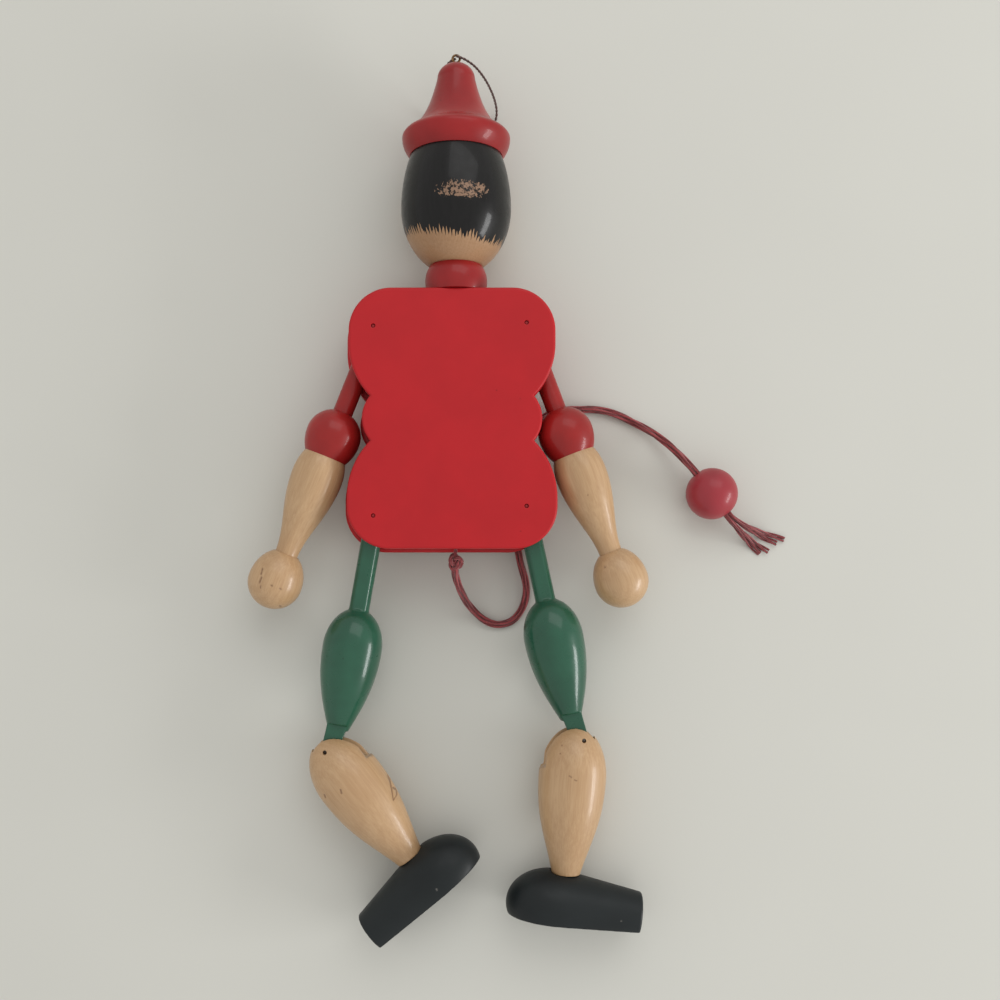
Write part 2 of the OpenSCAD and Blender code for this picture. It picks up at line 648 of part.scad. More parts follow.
// Surface that the toy lies on: it touches the head and, lower down, both shoes
function shoe_spot(side) =
  [-shin_shift(side), -shin_end] + turn(-shoe_tilt, [shoe_widest - ankle_from_heel, -ankle_seat]);
function shoe_rest(side, thigh_a, knee_a) =
  hip_pivot(side) + turn(side * thigh_a, [side * knee_shift, -thigh_l])
  + turn(side * (thigh_a - knee_a), [side * shoe_spot(side)[0], shoe_spot(side)[1]]);
shoes_y = (shoe_rest(left, left_thigh_angle, left_knee_angle)[1]
  + shoe_rest(right, right_thigh_angle, right_knee_angle)[1]) / 2;
head_rest_y = head_y + head_widest_y;
rest_slope = (head_d - shoe_d) / 2 / (head_rest_y - shoes_y);
function rest_z(y) = limb_z - head_d / 2 + (head_rest_y - y) * rest_slope;

// Routes as x from the centre string, y and the height of the underside above that surface
bead_place = [string_x + 99.6, -27];
bead_turn = -52;
bead_lift = bead_d / 2;
cord_start = knot_y - knot_flat;
knot_lift = limb_z + string_z - rest_z(cord_start - cord_straight) - cord_d / 2 - floor_room;
cord_route = [
  [0, cord_start - cord_straight, knot_lift], [0, -59, knot_lift - 2], [1, -63, 14], [3, -67, 9],
  [5.5, -71, 4], [9, -75, 1], [13.5, -77.5, 0], [17.5, -78, 0], [21.5, -77, 0], [24.5, -74.5, 0],
  [26.5, -71, 0],
  [27.5, -66.5, 0], [27.2, -61, 0], [25.8, -55, 0], [24.5, -49, 0], [22.5, -41, 0], [21, -33, 0],
  [20.5, -25, 0], [21.5, -17, 0], [24, -9, 0], [28, -2, 0], [34, 3.5, 0], [41, 6.5, 0], [49, 7.3, 0],
  [57, 6.8, 0], [65, 4.6, 0], [73, 0.6, 0.5], [80, -4.2, 2], [86, -9.6, 5]
];
// The thread's route as x from the neck's axis, y and the drop of its middle below the eye
thread_route = [
  [0.2, 139.4, -0.95], [3.2, 138.4, -0.6], [6.8, 136.8, 1.4], [9.8, 134.8, 4.6], [12.4, 132.6, 9],
  [14.6, 130, 14.4], [15.8, 127, 19], [15.4, 123.6, 21], [13, 120.8, 21.2], [9, 119, 21.2],
  [4, 118.2, 21.2], [-1, 118.6, 21.2], [-5.4, 120.4, 21.2], [-8.4, 123.4, 20.8], [-9.8, 127, 19],
  [-9.2, 130.6, 15.6], [-7.6, 133.8, 11], [-5.4, 136.4, 6.2], [-2.8, 138.4, 2.4], [-0.2, 139.3, 1]
];

// One tube of flat sides along a route
function smooth_route(p, n) =
  [for (i = [0 : len(p) - 2], j = [0 : n - 1])
    let (t = j / n, a = p[max(i - 1, 0)], b = p[i], c = p[i + 1], d = p[min(i + 2, len(p) - 1)])
    0.5 * (2 * b + (c - a) * t + (2 * a - 5 * b + 4 * c - d) * t * t + (3 * b - a - 3 * c + d) * t * t * t),
   p[len(p) - 1]];
module tube(path, d, sides = 8) {
  last = len(path) - 1;
  rings = [for (i = [0 : last])
    let (
      way = path[min(i + 1, last)] - path[max(i - 1, 0)],
      ahead = way / norm(way),
      flat = cross(ahead, [0, 0, 1]),
      across = flat / norm(flat),
      over = cross(across, ahead)
    )
    for (k = [0 : sides - 1]) let (a = 360 * (k + 0.5) / sides)
      path[i] + d / 2 * (cos(a) * across + sin(a) * over)];
  walls = [for (i = [0 : last - 1], k = [0 : sides - 1])
    let (a = i * sides + k, b = i * sides + (k + 1) % sides)
    each [[a, a + sides, b], [b, a + sides, b + sides]]];
  start = [for (k = [1 : sides - 2]) [0, k, k + 1]];
  end = [for (k = [1 : sides - 2]) [last * sides, last * sides + k + 1, last * sides + k]];
  polyhedron(rings, concat(walls, start, end));
}

bead_z = rest_z(bead_place[1]) + bead_lift;
bead_middle = [bead_place[0], bead_place[1], bead_z];
bead_way = [cos(bead_turn), sin(bead_turn), 0];
cord_points = concat(
  [for (p = cord_route) [string_x + p[0], p[1], rest_z(p[1]) + cord_d / 2 + floor_room + p[2]]],
  [for (d = [bead_d / 2 + cord_straight, bead_d / 2 - cord_inside, 0]) bead_middle - bead_way * d]);
module pull_cord()
  color(red_cord)
    tube(concat([[string_x, cord_start, limb_z + string_z]], smooth_route(cord_points, 2)), cord_d);
module along_bead() translate(bead_middle) rotate([0, 90, bead_turn]) children();
module pull_bead()
  color(crimson_paint) difference() {
    along_bead() sphere(d = bead_d);
    along_bead() translate([0, 0, -bead_d]) cylinder(d = bead_hole_d, h = 2 * bead_d);
  }

// Loose strands of the cord's end: side step and length past the bead, and how each spreads and falls
strand_ends = [[12.5, 22.5], [9, 22], [6, 22.5], [3, 21]];
strand_ways = [0, 0.05, 0.25, 0.5, 0.75, 1];
strand_spread = [0, 0, 0.1, 0.36, 0.68, 1];
strand_fall = [0, 0, 0.12, 0.5, 1, 1];
strand_room = 0.1;
bead_side = [-bead_way[1], bead_way[0], 0];
function strand_point(i, k) =
  let (
    step = (strand_d / 2 + strand_room) * [i < 2 ? 1 : -1, i % 2 == 0 ? 1 : -1],
    along = k == 0 ? 0 : bead_d / 2 + strand_ways[k] * strand_ends[i][1],
    side = step[0] + strand_spread[k] * strand_ends[i][0],
    spot = bead_middle + along * bead_way + side * bead_side,
    low = rest_z(spot[1]) + strand_d / 2 + floor_room,
    drop = strand_fall[k] * (bead_z - low)
  )
  [spot[0], spot[1], max(low, bead_z + step[1] * (1 - strand_spread[k]) - drop)];
module cord_tail()
  color(red_cord) for (i = [0 : len(strand_ends) - 1])
    tube(smooth_route([for (k = [0 : len(strand_ways) - 1]) strand_point(i, k)], 2), strand_d, 6);

thread_points = [for (p = thread_route) [neck_x + p[0], p[1], limb_z - p[2]]];
module hanging_thread() color(dark_thread) tube(smooth_route(thread_points, 2), thread_d);

back_board();
front_board();
neck_block();
waist_blocks();
arm_pivot_pins();
hip_pivot_pins();
neck_dowel();
collar();
head();
hat();
screw_eye();
hanging_thread();
sleeve(left);  // left_sleeve
arm_dowel(left);  // left_arm_dowel
forearm(left);  // left_forearm
sleeve(right);  // right_sleeve
arm_dowel(right);  // right_arm_dowel
forearm(right);  // right_forearm
thigh(left);  // left_thigh
knee_pin(left);  // left_knee_pin
shin(left);  // left_shin
ankle_dowel(left);  // left_ankle_dowel
shoe(left);  // left_shoe
thigh(right);  // right_thigh
knee_pin(right);  // right_knee_pin
shin(right);  // right_shin
ankle_dowel(right);  // right_ankle_dowel
shoe(right);  // right_shoe
arm_string(left);  // left_arm_string
arm_string(right);  // right_arm_string
leg_string(left);  // left_leg_string
leg_string(right);  // right_leg_string
centre_string();
string_ties();
exit_knot();
pull_cord();
pull_bead();
cord_tail();
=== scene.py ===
import json
import math

import bmesh
import bpy
from mathutils import Matrix, Vector


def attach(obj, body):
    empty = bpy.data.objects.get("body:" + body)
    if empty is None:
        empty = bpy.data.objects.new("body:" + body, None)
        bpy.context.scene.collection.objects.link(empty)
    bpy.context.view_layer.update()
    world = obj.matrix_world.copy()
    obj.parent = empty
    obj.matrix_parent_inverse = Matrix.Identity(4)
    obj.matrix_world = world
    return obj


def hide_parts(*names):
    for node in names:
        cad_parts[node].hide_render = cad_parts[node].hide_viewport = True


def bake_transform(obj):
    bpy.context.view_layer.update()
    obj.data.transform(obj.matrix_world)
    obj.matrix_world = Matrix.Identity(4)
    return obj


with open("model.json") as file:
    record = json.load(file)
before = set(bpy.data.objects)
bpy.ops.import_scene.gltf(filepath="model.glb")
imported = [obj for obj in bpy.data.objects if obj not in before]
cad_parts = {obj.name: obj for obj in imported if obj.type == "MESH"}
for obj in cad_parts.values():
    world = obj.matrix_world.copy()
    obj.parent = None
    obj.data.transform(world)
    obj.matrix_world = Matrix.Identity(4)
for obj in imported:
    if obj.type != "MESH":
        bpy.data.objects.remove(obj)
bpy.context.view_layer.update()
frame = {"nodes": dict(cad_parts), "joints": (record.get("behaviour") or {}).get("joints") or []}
scene = bpy.context.scene
scene.view_settings.view_transform = "Standard"
mm = 0.001
jointPlace = {j["name"]: Vector(j["pos_m"]) for j in frame["joints"] if "pos_m" in j}
sides = {"left": -1, "right": 1}
print("frame loaded:", len(frame["nodes"]), "nodes")


def linked(name, data):
    thing = bpy.data.objects.new(name, data)
    scene.collection.objects.link(thing)
    return thing


# Straight above the toy, as the photograph was taken
cameraSet = {"place": (9.4, -60.6, 429.7), "lens": 41.4, "shift": (0.025, 0.08)}
cameraData = bpy.data.cameras.new("camera")
cameraData.lens = cameraSet["lens"]
cameraData.shift_x, cameraData.shift_y = cameraSet["shift"]
cameraData.clip_start = 0.01
scene.camera = linked("camera", cameraData)
scene.camera.location = Vector(cameraSet["place"]) * mm
print("camera set")

# The surface under the toy: it touches the head and, further down, both shoes
limbZ = jointPlace["left_shoulder"].z / mm
rest = {"headY": 81, "headLow": -31.3, "slope": 0.028865}


def restZ(y):
    return rest["headLow"] + (rest["headY"] - y) * rest["slope"]


# Node trees for finishes: small helpers that keep the graphs short
class Finish:
    def __init__(self, name):
        self.material = bpy.data.materials.new(name)
        self.material.use_nodes = True
        self.tree = self.material.node_tree
        self.shader = self.tree.nodes["Principled BSDF"]

    def add(self, kind, sockets=(), **settings):
        node = self.tree.nodes.new("ShaderNode" + kind)
        for key, value in settings.items():
            setattr(node, key, value)
        for key, value in dict(sockets).items():
            self.put(node.inputs[key], value)
        return node

    def put(self, socket, value):
        if isinstance(value, bpy.types.NodeSocket):
            self.tree.links.new(value, socket)
        else:
            socket.default_value = value

    def math(self, operation, *values):
        node = self.add("Math", operation=operation)
        for socket, value in zip(node.inputs, values):
            self.put(socket, value)
        return node.outputs[0]

    def plus(self, a, b):
        return self.math("ADD", a, b)

    def minus(self, a, b):
        return self.math("SUBTRACT", a, b)

    def times(self, a, b):
        return self.math("MULTIPLY", a, b)

    def ramp(self, value, low, high, lowTo=0.0, highTo=1.0):
        node = self.add("MapRange", interpolation_type="SMOOTHSTEP")
        for socket, number in zip(node.inputs, (value, low, high, lowTo, highTo)):
            self.put(socket, number)
        return node.outputs[0]

    def mix(self, factor, a, b):
        node = self.add("Mix", data_type="RGBA")
        named = {s.identifier: s for s in node.inputs}
        for key, value in (("Factor_Float", factor), ("A_Color", a), ("B_Color", b)):
            self.put(named[key], value if not isinstance(value, tuple) else (*value, 1)[:4])
        return next(s for s in node.outputs if s.identifier == "Result_Color")

    def local(self, place=(0, 0, 0), angle=0.0):
        where = self.add("TexCoord").outputs["Object"]
        node = self.add("Mapping", vector_type="TEXTURE")
        node.inputs["Location"].default_value = place
        node.inputs["Rotation"].default_value = (0, 0, angle)
        node.inputs["Scale"].default_value = (mm, mm, mm)
        self.put(node.inputs["Vector"], where)
        return node.outputs[0]

    def stretch(self, vector, scale, shift=(0, 0, 0)):
        node = self.add("Mapping", {"Vector": vector, "Scale": scale, "Location": shift})
        return node.outputs[0]

    def noise(self, vector, scale, detail=2.0, rough=0.5):
        sockets = {"Vector": vector, "Scale": scale, "Detail": detail, "Roughness": rough}
        return self.add("TexNoise", sockets).outputs[0]

    def parts(self, vector):
        return self.add("SeparateXYZ", {"Vector": vector}).outputs

    def bump(self, height, strength, distance):
        node = self.add("Bump", {"Height": height, "Strength": strength, "Distance": distance * mm})
        self.put(self.shader.inputs["Normal"], node.outputs[0])

    def finish(self, colour, rough, coat=0.0, coatRough=0.1, metal=0.0, sheen=0.0, shine=0.5):
        inputs = self.shader.inputs
        for key, value in (("Base Color", colour), ("Roughness", rough)):
            self.put(inputs[key], value if not isinstance(value, tuple) else (*value, 1))
        inputs["Coat Weight"].default_value = coat
        inputs["Coat Roughness"].default_value = coatRough
        inputs["Metallic"].default_value = metal
        inputs["Specular IOR Level"].default_value = shine
        inputs["Sheen Weight"].default_value = sheen
        return self.material


# Gloss paint over wood: faint shade changes, brush drag, orange peel and a few dust specks
def paintFinish(name, colour, rough=0.34, coat=0.2, coatRough=0.1, speck=0.5, chips=None, cloudy=1.0):
    f = Finish(name)
    where = f.local()
    cloud = f.noise(where, 0.045, 3, 0.6)
    dark = tuple(c * (1 - 0.14 * cloudy) for c in colour)
    light = tuple(min(1, c * (1 + 0.1 * cloudy)) for c in colour)
    tone = f.mix(f.ramp(cloud, 0.3, 0.7), dark, light)
    cells = f.add("TexVoronoi", {"Vector": where, "Scale": 0.11})
    chosen = f.math("GREATER_THAN", f.parts(cells.outputs["Color"])[0], 0.62)
    spot = f.times(f.ramp(cells.outputs["Distance"], 0.02, 0.055, speck, 0), chosen)
    tone = f.mix(spot, tone, tuple(c * 0.35 for c in colour))
    if chips:
        worn = f.add("Attribute", attribute_name="mark").outputs["Fac"]
        tone = f.mix(worn, tone, chips)
    peel = f.plus(f.noise(where, 0.9, 2), f.times(f.noise(where, 0.16, 2), 2.5))
    f.bump(peel, 0.35, 0.05)
    smudge = f.ramp(f.noise(where, 0.12, 4, 0.65), 0.3, 0.75, rough - 0.06, rough + 0.1)
    return f.finish(tone, smudge, coat, coatRough, shine=0.26)


# Varnished turned wood: growth rings round an axis beside the piece, fibres and short flecks along it
woodTones = {"light": (0.535, 0.350, 0.190), "dark": (0.430, 0.258, 0.128), "fleck": (0.33, 0.185, 0.085),
             "mark": (0.24, 0.13, 0.06), "ring": 2.4, "grain": 0.08}
headTones = {"light": (0.430, 0.265, 0.150), "dark": (0.335, 0.195, 0.102), "fleck": (0.26, 0.14, 0.072),
             "ring": 1.6, "grain": 0.04}


def woodTone(f, where, seed, tones):
    shifted = f.stretch(where, (1, 1, 1), (17 + 5 * seed, 31 * seed, -23 - 7 * seed))
    rings = f.add("TexWave", wave_type="RINGS", rings_direction="Y")
    for key, value in (("Vector", f.stretch(shifted, (1, 0.16, 1))), ("Scale", 0.314 / tones["ring"]),
                       ("Distortion", 5.0), ("Detail", 3.0), ("Detail Scale", 0.9)):
        f.put(rings.inputs[key], value)
    fibre = f.noise(f.stretch(shifted, (1.7, 0.05, 1.7)), 1.0, 4, 0.6)
    cloud = f.noise(shifted, 0.05, 2)
    grain = f.plus(f.times(rings.outputs["Fac"], tones["grain"]), f.times(fibre, 0.7))
    grain = f.plus(grain, f.times(cloud, 0.5))
    tone = f.mix(f.ramp(grain, 0.4, 0.95), tones["dark"], tones["light"])
    fleck = f.noise(f.stretch(shifted, (2.6, 0.32, 2.6)), 1.0, 1)
    tone = f.mix(f.ramp(fleck, 0.66, 0.8, 0, 0.3), tone, tones["fleck"])
    return tone, fibre


def woodFinish(name, place=(0, 0, 0), angle=0.0, seed=0, rough=0.42, coat=0.22, marked=False):
    f = Finish(name)
    where = f.local(place, angle)
    tone, fibre = woodTone(f, where, seed, woodTones)
    if marked:
        worn = f.add("Attribute", attribute_name="mark").outputs["Fac"]
        tone = f.mix(worn, tone, woodTones["mark"])
    f.bump(fibre, 0.3, 0.06)
    return f.finish(tone, f.ramp(fibre, 0.3, 0.7, rough + 0.06, rough - 0.05), coat, 0.13)


# Twisted yarn: fibres run slantwise along each strand, by the strand's own length and turn; the colour follows
# the same ply and fuzz height as the bump, painted shade in the low parts and painted highlight on the high
# parts
def yarnFinish(name, colour, rough=0.8):
    f = Finish(name)
    lay = f.add("Attribute", attribute_name="lay").outputs["Vector"]
    along, around = f.parts(lay)[:2]
    turn = f.plus(f.times(along, 170.0), f.times(around, 6.283))
    ply = f.math("SINE", f.times(turn, 3.0))
    fuzz = f.noise(f.local(), 1.6, 4, 0.7)
    shade = f.plus(f.times(ply, 0.22), fuzz)
    # dark and light copies of the yarn colour: painted shade in the ply grooves, painted highlight on the
    # crests and fuzz
    dark = tuple(c * 0.45 for c in colour)
    light = tuple(min(1, c * 1.45 + 0.02) for c in colour)
    tone = f.mix(f.ramp(shade, 0.2, 0.85), dark, light)
    f.bump(shade, 0.8, 0.18)
    return f.finish(tone, rough, sheen=0.35)


def metalFinish(name, colour, rough):
    f = Finish(name)
    where = f.local()
    tarnish = f.ramp(f.noise(where, 1.1, 4, 0.65), 0.35, 0.7)
    tone = f.mix(tarnish, tuple(c * 0.4 for c in colour), colour)
    f.bump(f.noise(where, 4.0, 2), 0.25, 0.03)
    return f.finish(tone, f.ramp(tarnish, 0, 1, rough + 0.2, rough), metal=1.0)


paintTones = {"board": (0.455, 0.0095, 0.0145), "crimson": (0.285, 0.010, 0.011),
              "sleeve": (0.300, 0.013, 0.012), "bead": (0.305, 0.030, 0.040),
              "green": (0.017, 0.090, 0.051), "slate": (0.0095, 0.0130, 0.0140),
              "hair": (0.0065, 0.0062, 0.0062), "chip": (0.12, 0.115, 0.105)}
boardPaint = paintFinish("boardPaint", paintTones["board"], rough=0.44, coat=0.05, coatRough=0.2, cloudy=0.35)
hatPaint = paintFinish("hatPaint", paintTones["crimson"])
sleevePaint = paintFinish("sleevePaint", paintTones["sleeve"])
beadPaint = paintFinish("beadPaint", paintTones["bead"], rough=0.4)
greenPaint = paintFinish("greenPaint", paintTones["green"], rough=0.3, coat=0.4)
slatePaint = paintFinish("slatePaint", paintTones["slate"], rough=0.46, coat=0.06, coatRough=0.25,
                         chips=paintTones["chip"])
redYarn = yarnFinish("redYarn", (0.235, 0.026, 0.030))
darkYarn = yarnFinish("darkYarn", (0.075, 0.028, 0.020))
nailSteel = metalFinish("nailSteel", (0.24, 0.22, 0.20), 0.45)
eyeBrass = metalFinish("eyeBrass", (0.30, 0.17, 0.075), 0.36)
bareWood = woodFinish("bareWood", rough=0.6, coat=0.0)
print("finishes made")


# Meshes are made in millimetres in a piece's own frame and then set in place
def dress(piece, body, node):
    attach(piece, body)
    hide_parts(node)


def baked(piece):
    evaluated = piece.evaluated_get(bpy.context.evaluated_depsgraph_get())
    mesh = bpy.data.meshes.new_from_object(evaluated)
    piece.modifiers.clear()
    old = piece.data
    piece.data = mesh
    bpy.data.meshes.remove(old)


def placed(piece, place):
    piece.data.transform(place @ Matrix.Scale(mm, 4))
    if place.determinant() < 0:
        piece.data.flip_normals()


def smoothed(mesh, angle=38):
    mesh.shade_smooth()
    mesh.set_sharp_from_angle(angle=math.radians(angle))


def completed(piece, place, material, body, node, angle=38, marks=()):
    placed(piece, place)
    smoothed(piece.data, angle)
    if marks:
        marked(piece, marks)
    piece.data.materials.append(material)
    dress(piece, body, node)


# Two trees: strands laid round a path, and nails set on points
def newTree(name, inputs):
    tree = bpy.data.node_groups.new(name, "GeometryNodeTree")
    tree.interface.new_socket("Geometry", in_out="INPUT", socket_type="NodeSocketGeometry")
    sockets = {}
    for label, kind in inputs.items():
        socket = tree.interface.new_socket(label, in_out="INPUT", socket_type="NodeSocket" + kind)
        sockets[label] = socket.identifier
    tree.interface.new_socket("Geometry", in_out="OUTPUT", socket_type="NodeSocketGeometry")
    return tree, sockets, tree.nodes.new("NodeGroupInput").outputs


def join(tree, kind, sockets=(), **settings):
    node = tree.nodes.new(kind if kind.startswith("Shader") else "GeometryNode" + kind)
    for key, value in settings.items():
        setattr(node, key, value)
    for key, value in dict(sockets).items():
        if isinstance(value, bpy.types.NodeSocket):
            tree.links.new(value, node.inputs[key])
        else:
            node.inputs[key].default_value = value
    return node.outputs


def sums(tree, operation, a, b=0.0):
    return join(tree, "ShaderNodeMath", {0: a, 1: b}, operation=operation)[0]


def endTree(tree, geometry, material):
    solid = join(tree, "RealizeInstances", {"Geometry": geometry})[0]
    solid = join(tree, "SetShadeSmooth", {0: solid})[0]
    solid = join(tree, "SetMaterial", {"Geometry": solid, "Material": material})[0]
    tree.links.new(solid, tree.nodes.new("NodeGroupOutput").inputs[0])


def makeYarnTree():
    inputs = {"Strands": "Int", "Strand Radius": "Float", "Lay Radius": "Float", "Turns": "Float",
              "Step": "Float", "Spread": "Float", "Material": "Material"}
    tree, sockets, given = newTree("yarnTree", inputs)
    path = join(tree, "MeshToCurve", {"Mesh": given["Geometry"]})[0]
    path = join(tree, "ResampleCurve", {"Curve": path, "Length": given["Step"]}, mode="LENGTH")[0]
    amount = {"Geometry": path, "Amount": given["Strands"]}
    copies = join(tree, "DuplicateElements", amount, domain="SPLINE")
    spline = join(tree, "SplineParameter")
    share = sums(tree, "DIVIDE", copies["Duplicate Index"], given["Strands"])
    turn = sums(tree, "ADD", sums(tree, "MULTIPLY", spline["Length"], given["Turns"]), share)
    angle = sums(tree, "MULTIPLY", turn, math.tau)
    loose = sums(tree, "MULTIPLY", sums(tree, "POWER", spline["Factor"], 3.0), given["Spread"])
    wide = sums(tree, "MULTIPLY", given["Lay Radius"], sums(tree, "ADD", loose, 1.0))
    normal = join(tree, "InputNormal")[0]
    tangent = join(tree, "InputTangent")[0]
    across = join(tree, "ShaderNodeVectorMath", {0: tangent, 1: normal}, operation="CROSS_PRODUCT")[0]
    steps = []
    for axis, function in ((normal, "COSINE"), (across, "SINE")):
        size = sums(tree, "MULTIPLY", sums(tree, function, angle), wide)
        steps.append(join(tree, "ShaderNodeVectorMath", {0: axis, "Scale": size}, operation="SCALE")[0])
    offset = join(tree, "ShaderNodeVectorMath", {0: steps[0], 1: steps[1]}, operation="ADD")[0]
    strands = join(tree, "SetPosition", {"Geometry": copies["Geometry"], "Offset": offset})[0]
    caught = tree.nodes.new("GeometryNodeCaptureAttribute")
    caught.capture_items.new("FLOAT", "along")
    caught.capture_items.new("FLOAT", "strand")
    tree.links.new(strands, caught.inputs["Geometry"])
    tree.links.new(spline["Length"], caught.inputs["along"])
    tree.links.new(share, caught.inputs["strand"])
    ring = join(tree, "CurvePrimitiveCircle", {"Resolution": 8, "Radius": given["Strand Radius"]})[0]
    rim = tree.nodes.new("GeometryNodeCaptureAttribute")
    rim.capture_items.new("FLOAT", "around")
    tree.links.new(ring, rim.inputs["Geometry"])
    tree.links.new(join(tree, "SplineParameter")["Factor"], rim.inputs["around"])
    tube = {"Curve": caught.outputs["Geometry"], "Profile Curve": rim.outputs["Geometry"], "Fill Caps": True}
    body = join(tree, "CurveToMesh", tube)[0]
    parts = {"X": caught.outputs["along"], "Y": rim.outputs["around"], "Z": caught.outputs["strand"]}
    lay = join(tree, "ShaderNodeCombineXYZ", parts)[0]
    named = {"Geometry": body, "Name": "lay", "Value": lay}
    body = join(tree, "StoreNamedAttribute", named, data_type="FLOAT_VECTOR", domain="POINT")[0]
    endTree(tree, body, given["Material"])
    return tree, sockets


def makeNailTree():
    inputs = {"Radius": "Float", "Length": "Float", "Tip": "Float", "Material": "Material"}
    tree, sockets, given = newTree("nailTree", inputs)
    inner = sums(tree, "SUBTRACT", given["Length"], sums(tree, "MULTIPLY", given["Tip"], 2.0))
    shaft = {"Vertices": 24, "Radius": given["Radius"], "Depth": inner}
    parts = tree.nodes.new("GeometryNodeJoinGeometry")
    tree.links.new(join(tree, "MeshCylinder", shaft, fill_type="NONE")[0], parts.inputs[0])
    half = sums(tree, "DIVIDE", inner, 2.0)
    small = sums(tree, "MULTIPLY", given["Radius"], 0.6)
    for flip in (0, math.pi):
        cone = {"Vertices": 24, "Radius Top": small, "Radius Bottom": given["Radius"], "Depth": given["Tip"]}
        tip = join(tree, "MeshCone", cone)[0]
        lift = join(tree, "ShaderNodeCombineXYZ", {"Z": half})[0]
        tip = join(tree, "Transform", {"Geometry": tip, "Translation": lift})[0]
        tip = join(tree, "Transform", {"Geometry": tip, "Rotation": (flip, 0, 0)})[0]
        tree.links.new(tip, parts.inputs[0])
    spots = {"Points": given["Geometry"], "Instance": parts.outputs[0]}
    nails = join(tree, "InstanceOnPoints", spots)[0]
    nails = join(tree, "RealizeInstances", {"Geometry": nails})[0]
    nails = join(tree, "MergeByDistance", {"Geometry": nails, "Distance": 1e-6})[0]
    endTree(tree, nails, given["Material"])
    return tree, sockets


yarnTree, yarnSockets = makeYarnTree()
nailTree, nailSockets = makeNailTree()


def grown(name, points, edges, tree, sockets, values):
    mesh = bpy.data.meshes.new(name)
    mesh.from_pydata([Vector(p) for p in points], edges, [])
    piece = linked(name, mesh)
    modifier = piece.modifiers.new("tree", "NODES")
    modifier.node_group = tree
    for label, value in values.items():
        modifier[sockets[label]] = value
    baked(piece)
    return piece


# Smooth curve through a route's points, in metres
def smoothRoute(route, steps=8):
    points = [Vector(p) for p in route]
    line = []
    for i in range(len(points) - 1):
        a, b, c, d = points[max(i - 1, 0)], points[i], points[i + 1], points[min(i + 2, len(points) - 1)]
        for j in range(steps):
            t = j / steps
            line.append(0.5 * (2 * b + (c - a) * t + (2 * a - 5 * b + 4 * c - d) * t ** 2
                               + (3 * b - a - 3 * c + d) * t ** 3))
    return [p * mm for p in line + [points[-1]]]


def yarn(name, line, material, lay, step=0.5, spread=0.0):
    edges = [(i, i + 1) for i in range(len(line) - 1)]
    values = {"Strands": lay["strands"], "Strand Radius": lay["strandRadius"] * mm,
              "Lay Radius": lay["layRadius"] * mm, "Turns": 1 / (lay["turn"] * mm), "Step": step * mm,
              "Spread": spread, "Material": material}
    return grown(name, line, edges, yarnTree, yarnSockets, values)


# Pull cord: out of the knot, over the surface, under the torso and out to the bead
cordSet = {"diameter": 3.2, "lift": 0.1, "straight": 1, "strands": 3, "strandRadius": 0.79, "layRadius": 0.83,
           "turn": 64}
knotSet = {"x": 2, "y": -53.9, "flat": 2.3, "z": limbZ + 2.95, "radius": 1.62, "tube": 0.9, "strands": 3,
           "strandRadius": 0.5, "layRadius": 0.42, "turn": 7}
beadSet = {"place": (101.6, -27), "radius": 10, "bore": 2.2, "lip": 0.7, "turn": -52}
knotEnd = knotSet["y"] - knotSet["flat"]
cordMiddle = cordSet["diameter"] / 2 + cordSet["lift"]
knotLift = knotSet["z"] - restZ(knotEnd - cordSet["straight"]) - cordMiddle
beadWay = Vector((math.cos(math.radians(beadSet["turn"])), math.sin(math.radians(beadSet["turn"])), 0))
beadMiddle = Vector((*beadSet["place"], restZ(beadSet["place"][1]) + beadSet["radius"]))
cordRoute = [(0, knotEnd - cordSet["straight"], knotLift), (0, -59, knotLift - 2), (1, -63, 14),
             (3, -67, 9), (5.5, -71, 4), (9, -75, 1), (13.5, -77.5, 0), (17.5, -78, 0), (21.5, -77, 0),
             (24.5, -74.5, 0), (26.5, -71, 0), (27.5, -66.5, 0), (27.2, -61, 0), (25.8, -55, 0),
             (24.5, -49, 0), (22.5, -41, 0), (21, -33, 0), (20.5, -25, 0), (21.5, -17, 0), (24, -9, 0),
             (28, -2, 0), (34, 3.5, 0), (41, 6.5, 0), (49, 7.3, 0), (57, 6.8, 0), (65, 4.6, 0),
             (73, 0.6, 0.5), (80, -4.2, 2), (86, -9.6, 5)]
cordPoints = [(knotSet["x"] + x, y, restZ(y) + cordMiddle + h) for x, y, h in cordRoute]
cordPoints += [beadMiddle - beadWay * d for d in (11, 6, 0)]
cordLine = [Vector((knotSet["x"], knotEnd, knotSet["z"])) * mm] + smoothRoute(cordPoints)
pullCord = yarn("pullCord", cordLine, redYarn, cordSet)
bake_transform(pullCord)
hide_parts("pull_cord")

# Frayed end of the cord past the bead
tailSet = {"ends": ((12.5, 22.5), (9, 22), (6, 22.5), (3, 21)), "ways": (0, 0.05, 0.25, 0.5, 0.75, 1),
           "spread": (0, 0, 0.1, 0.36, 0.68, 1), "fall": (0, 0, 0.12, 0.5, 1, 1), "radius": 0.7, "room": 0.1,
           "strands": 3, "strandRadius": 0.42, "layRadius": 0.4, "turn": 30, "splay": 1.0}
beadSide = Vector((-beadWay.y, beadWay.x, 0))


def strandPoint(i, k):
    side, length = tailSet["ends"][i]
    room = tailSet["radius"] + tailSet["room"]
    step = (room if i < 2 else -room, room if i % 2 == 0 else -room)
    along = 0 if k == 0 else beadSet["radius"] + tailSet["ways"][k] * length
    spot = beadMiddle + beadWay * along + beadSide * (step[0] + tailSet["spread"][k] * side)
    low = restZ(spot.y) + tailSet["radius"] + tailSet["room"]
    drop = tailSet["fall"][k] * (beadMiddle.z - low)
    return (spot.x, spot.y, max(low, beadMiddle.z + step[1] * (1 - tailSet["spread"][k]) - drop))


for i in range(len(tailSet["ends"])):
    strandLine = smoothRoute([strandPoint(i, k) for k in range(len(tailSet["ways"]))])
    strand = yarn("cordTail%d" % (i + 1), strandLine, redYarn, tailSet, spread=tailSet["splay"])
    dress(strand, "bead", "cord_tail")

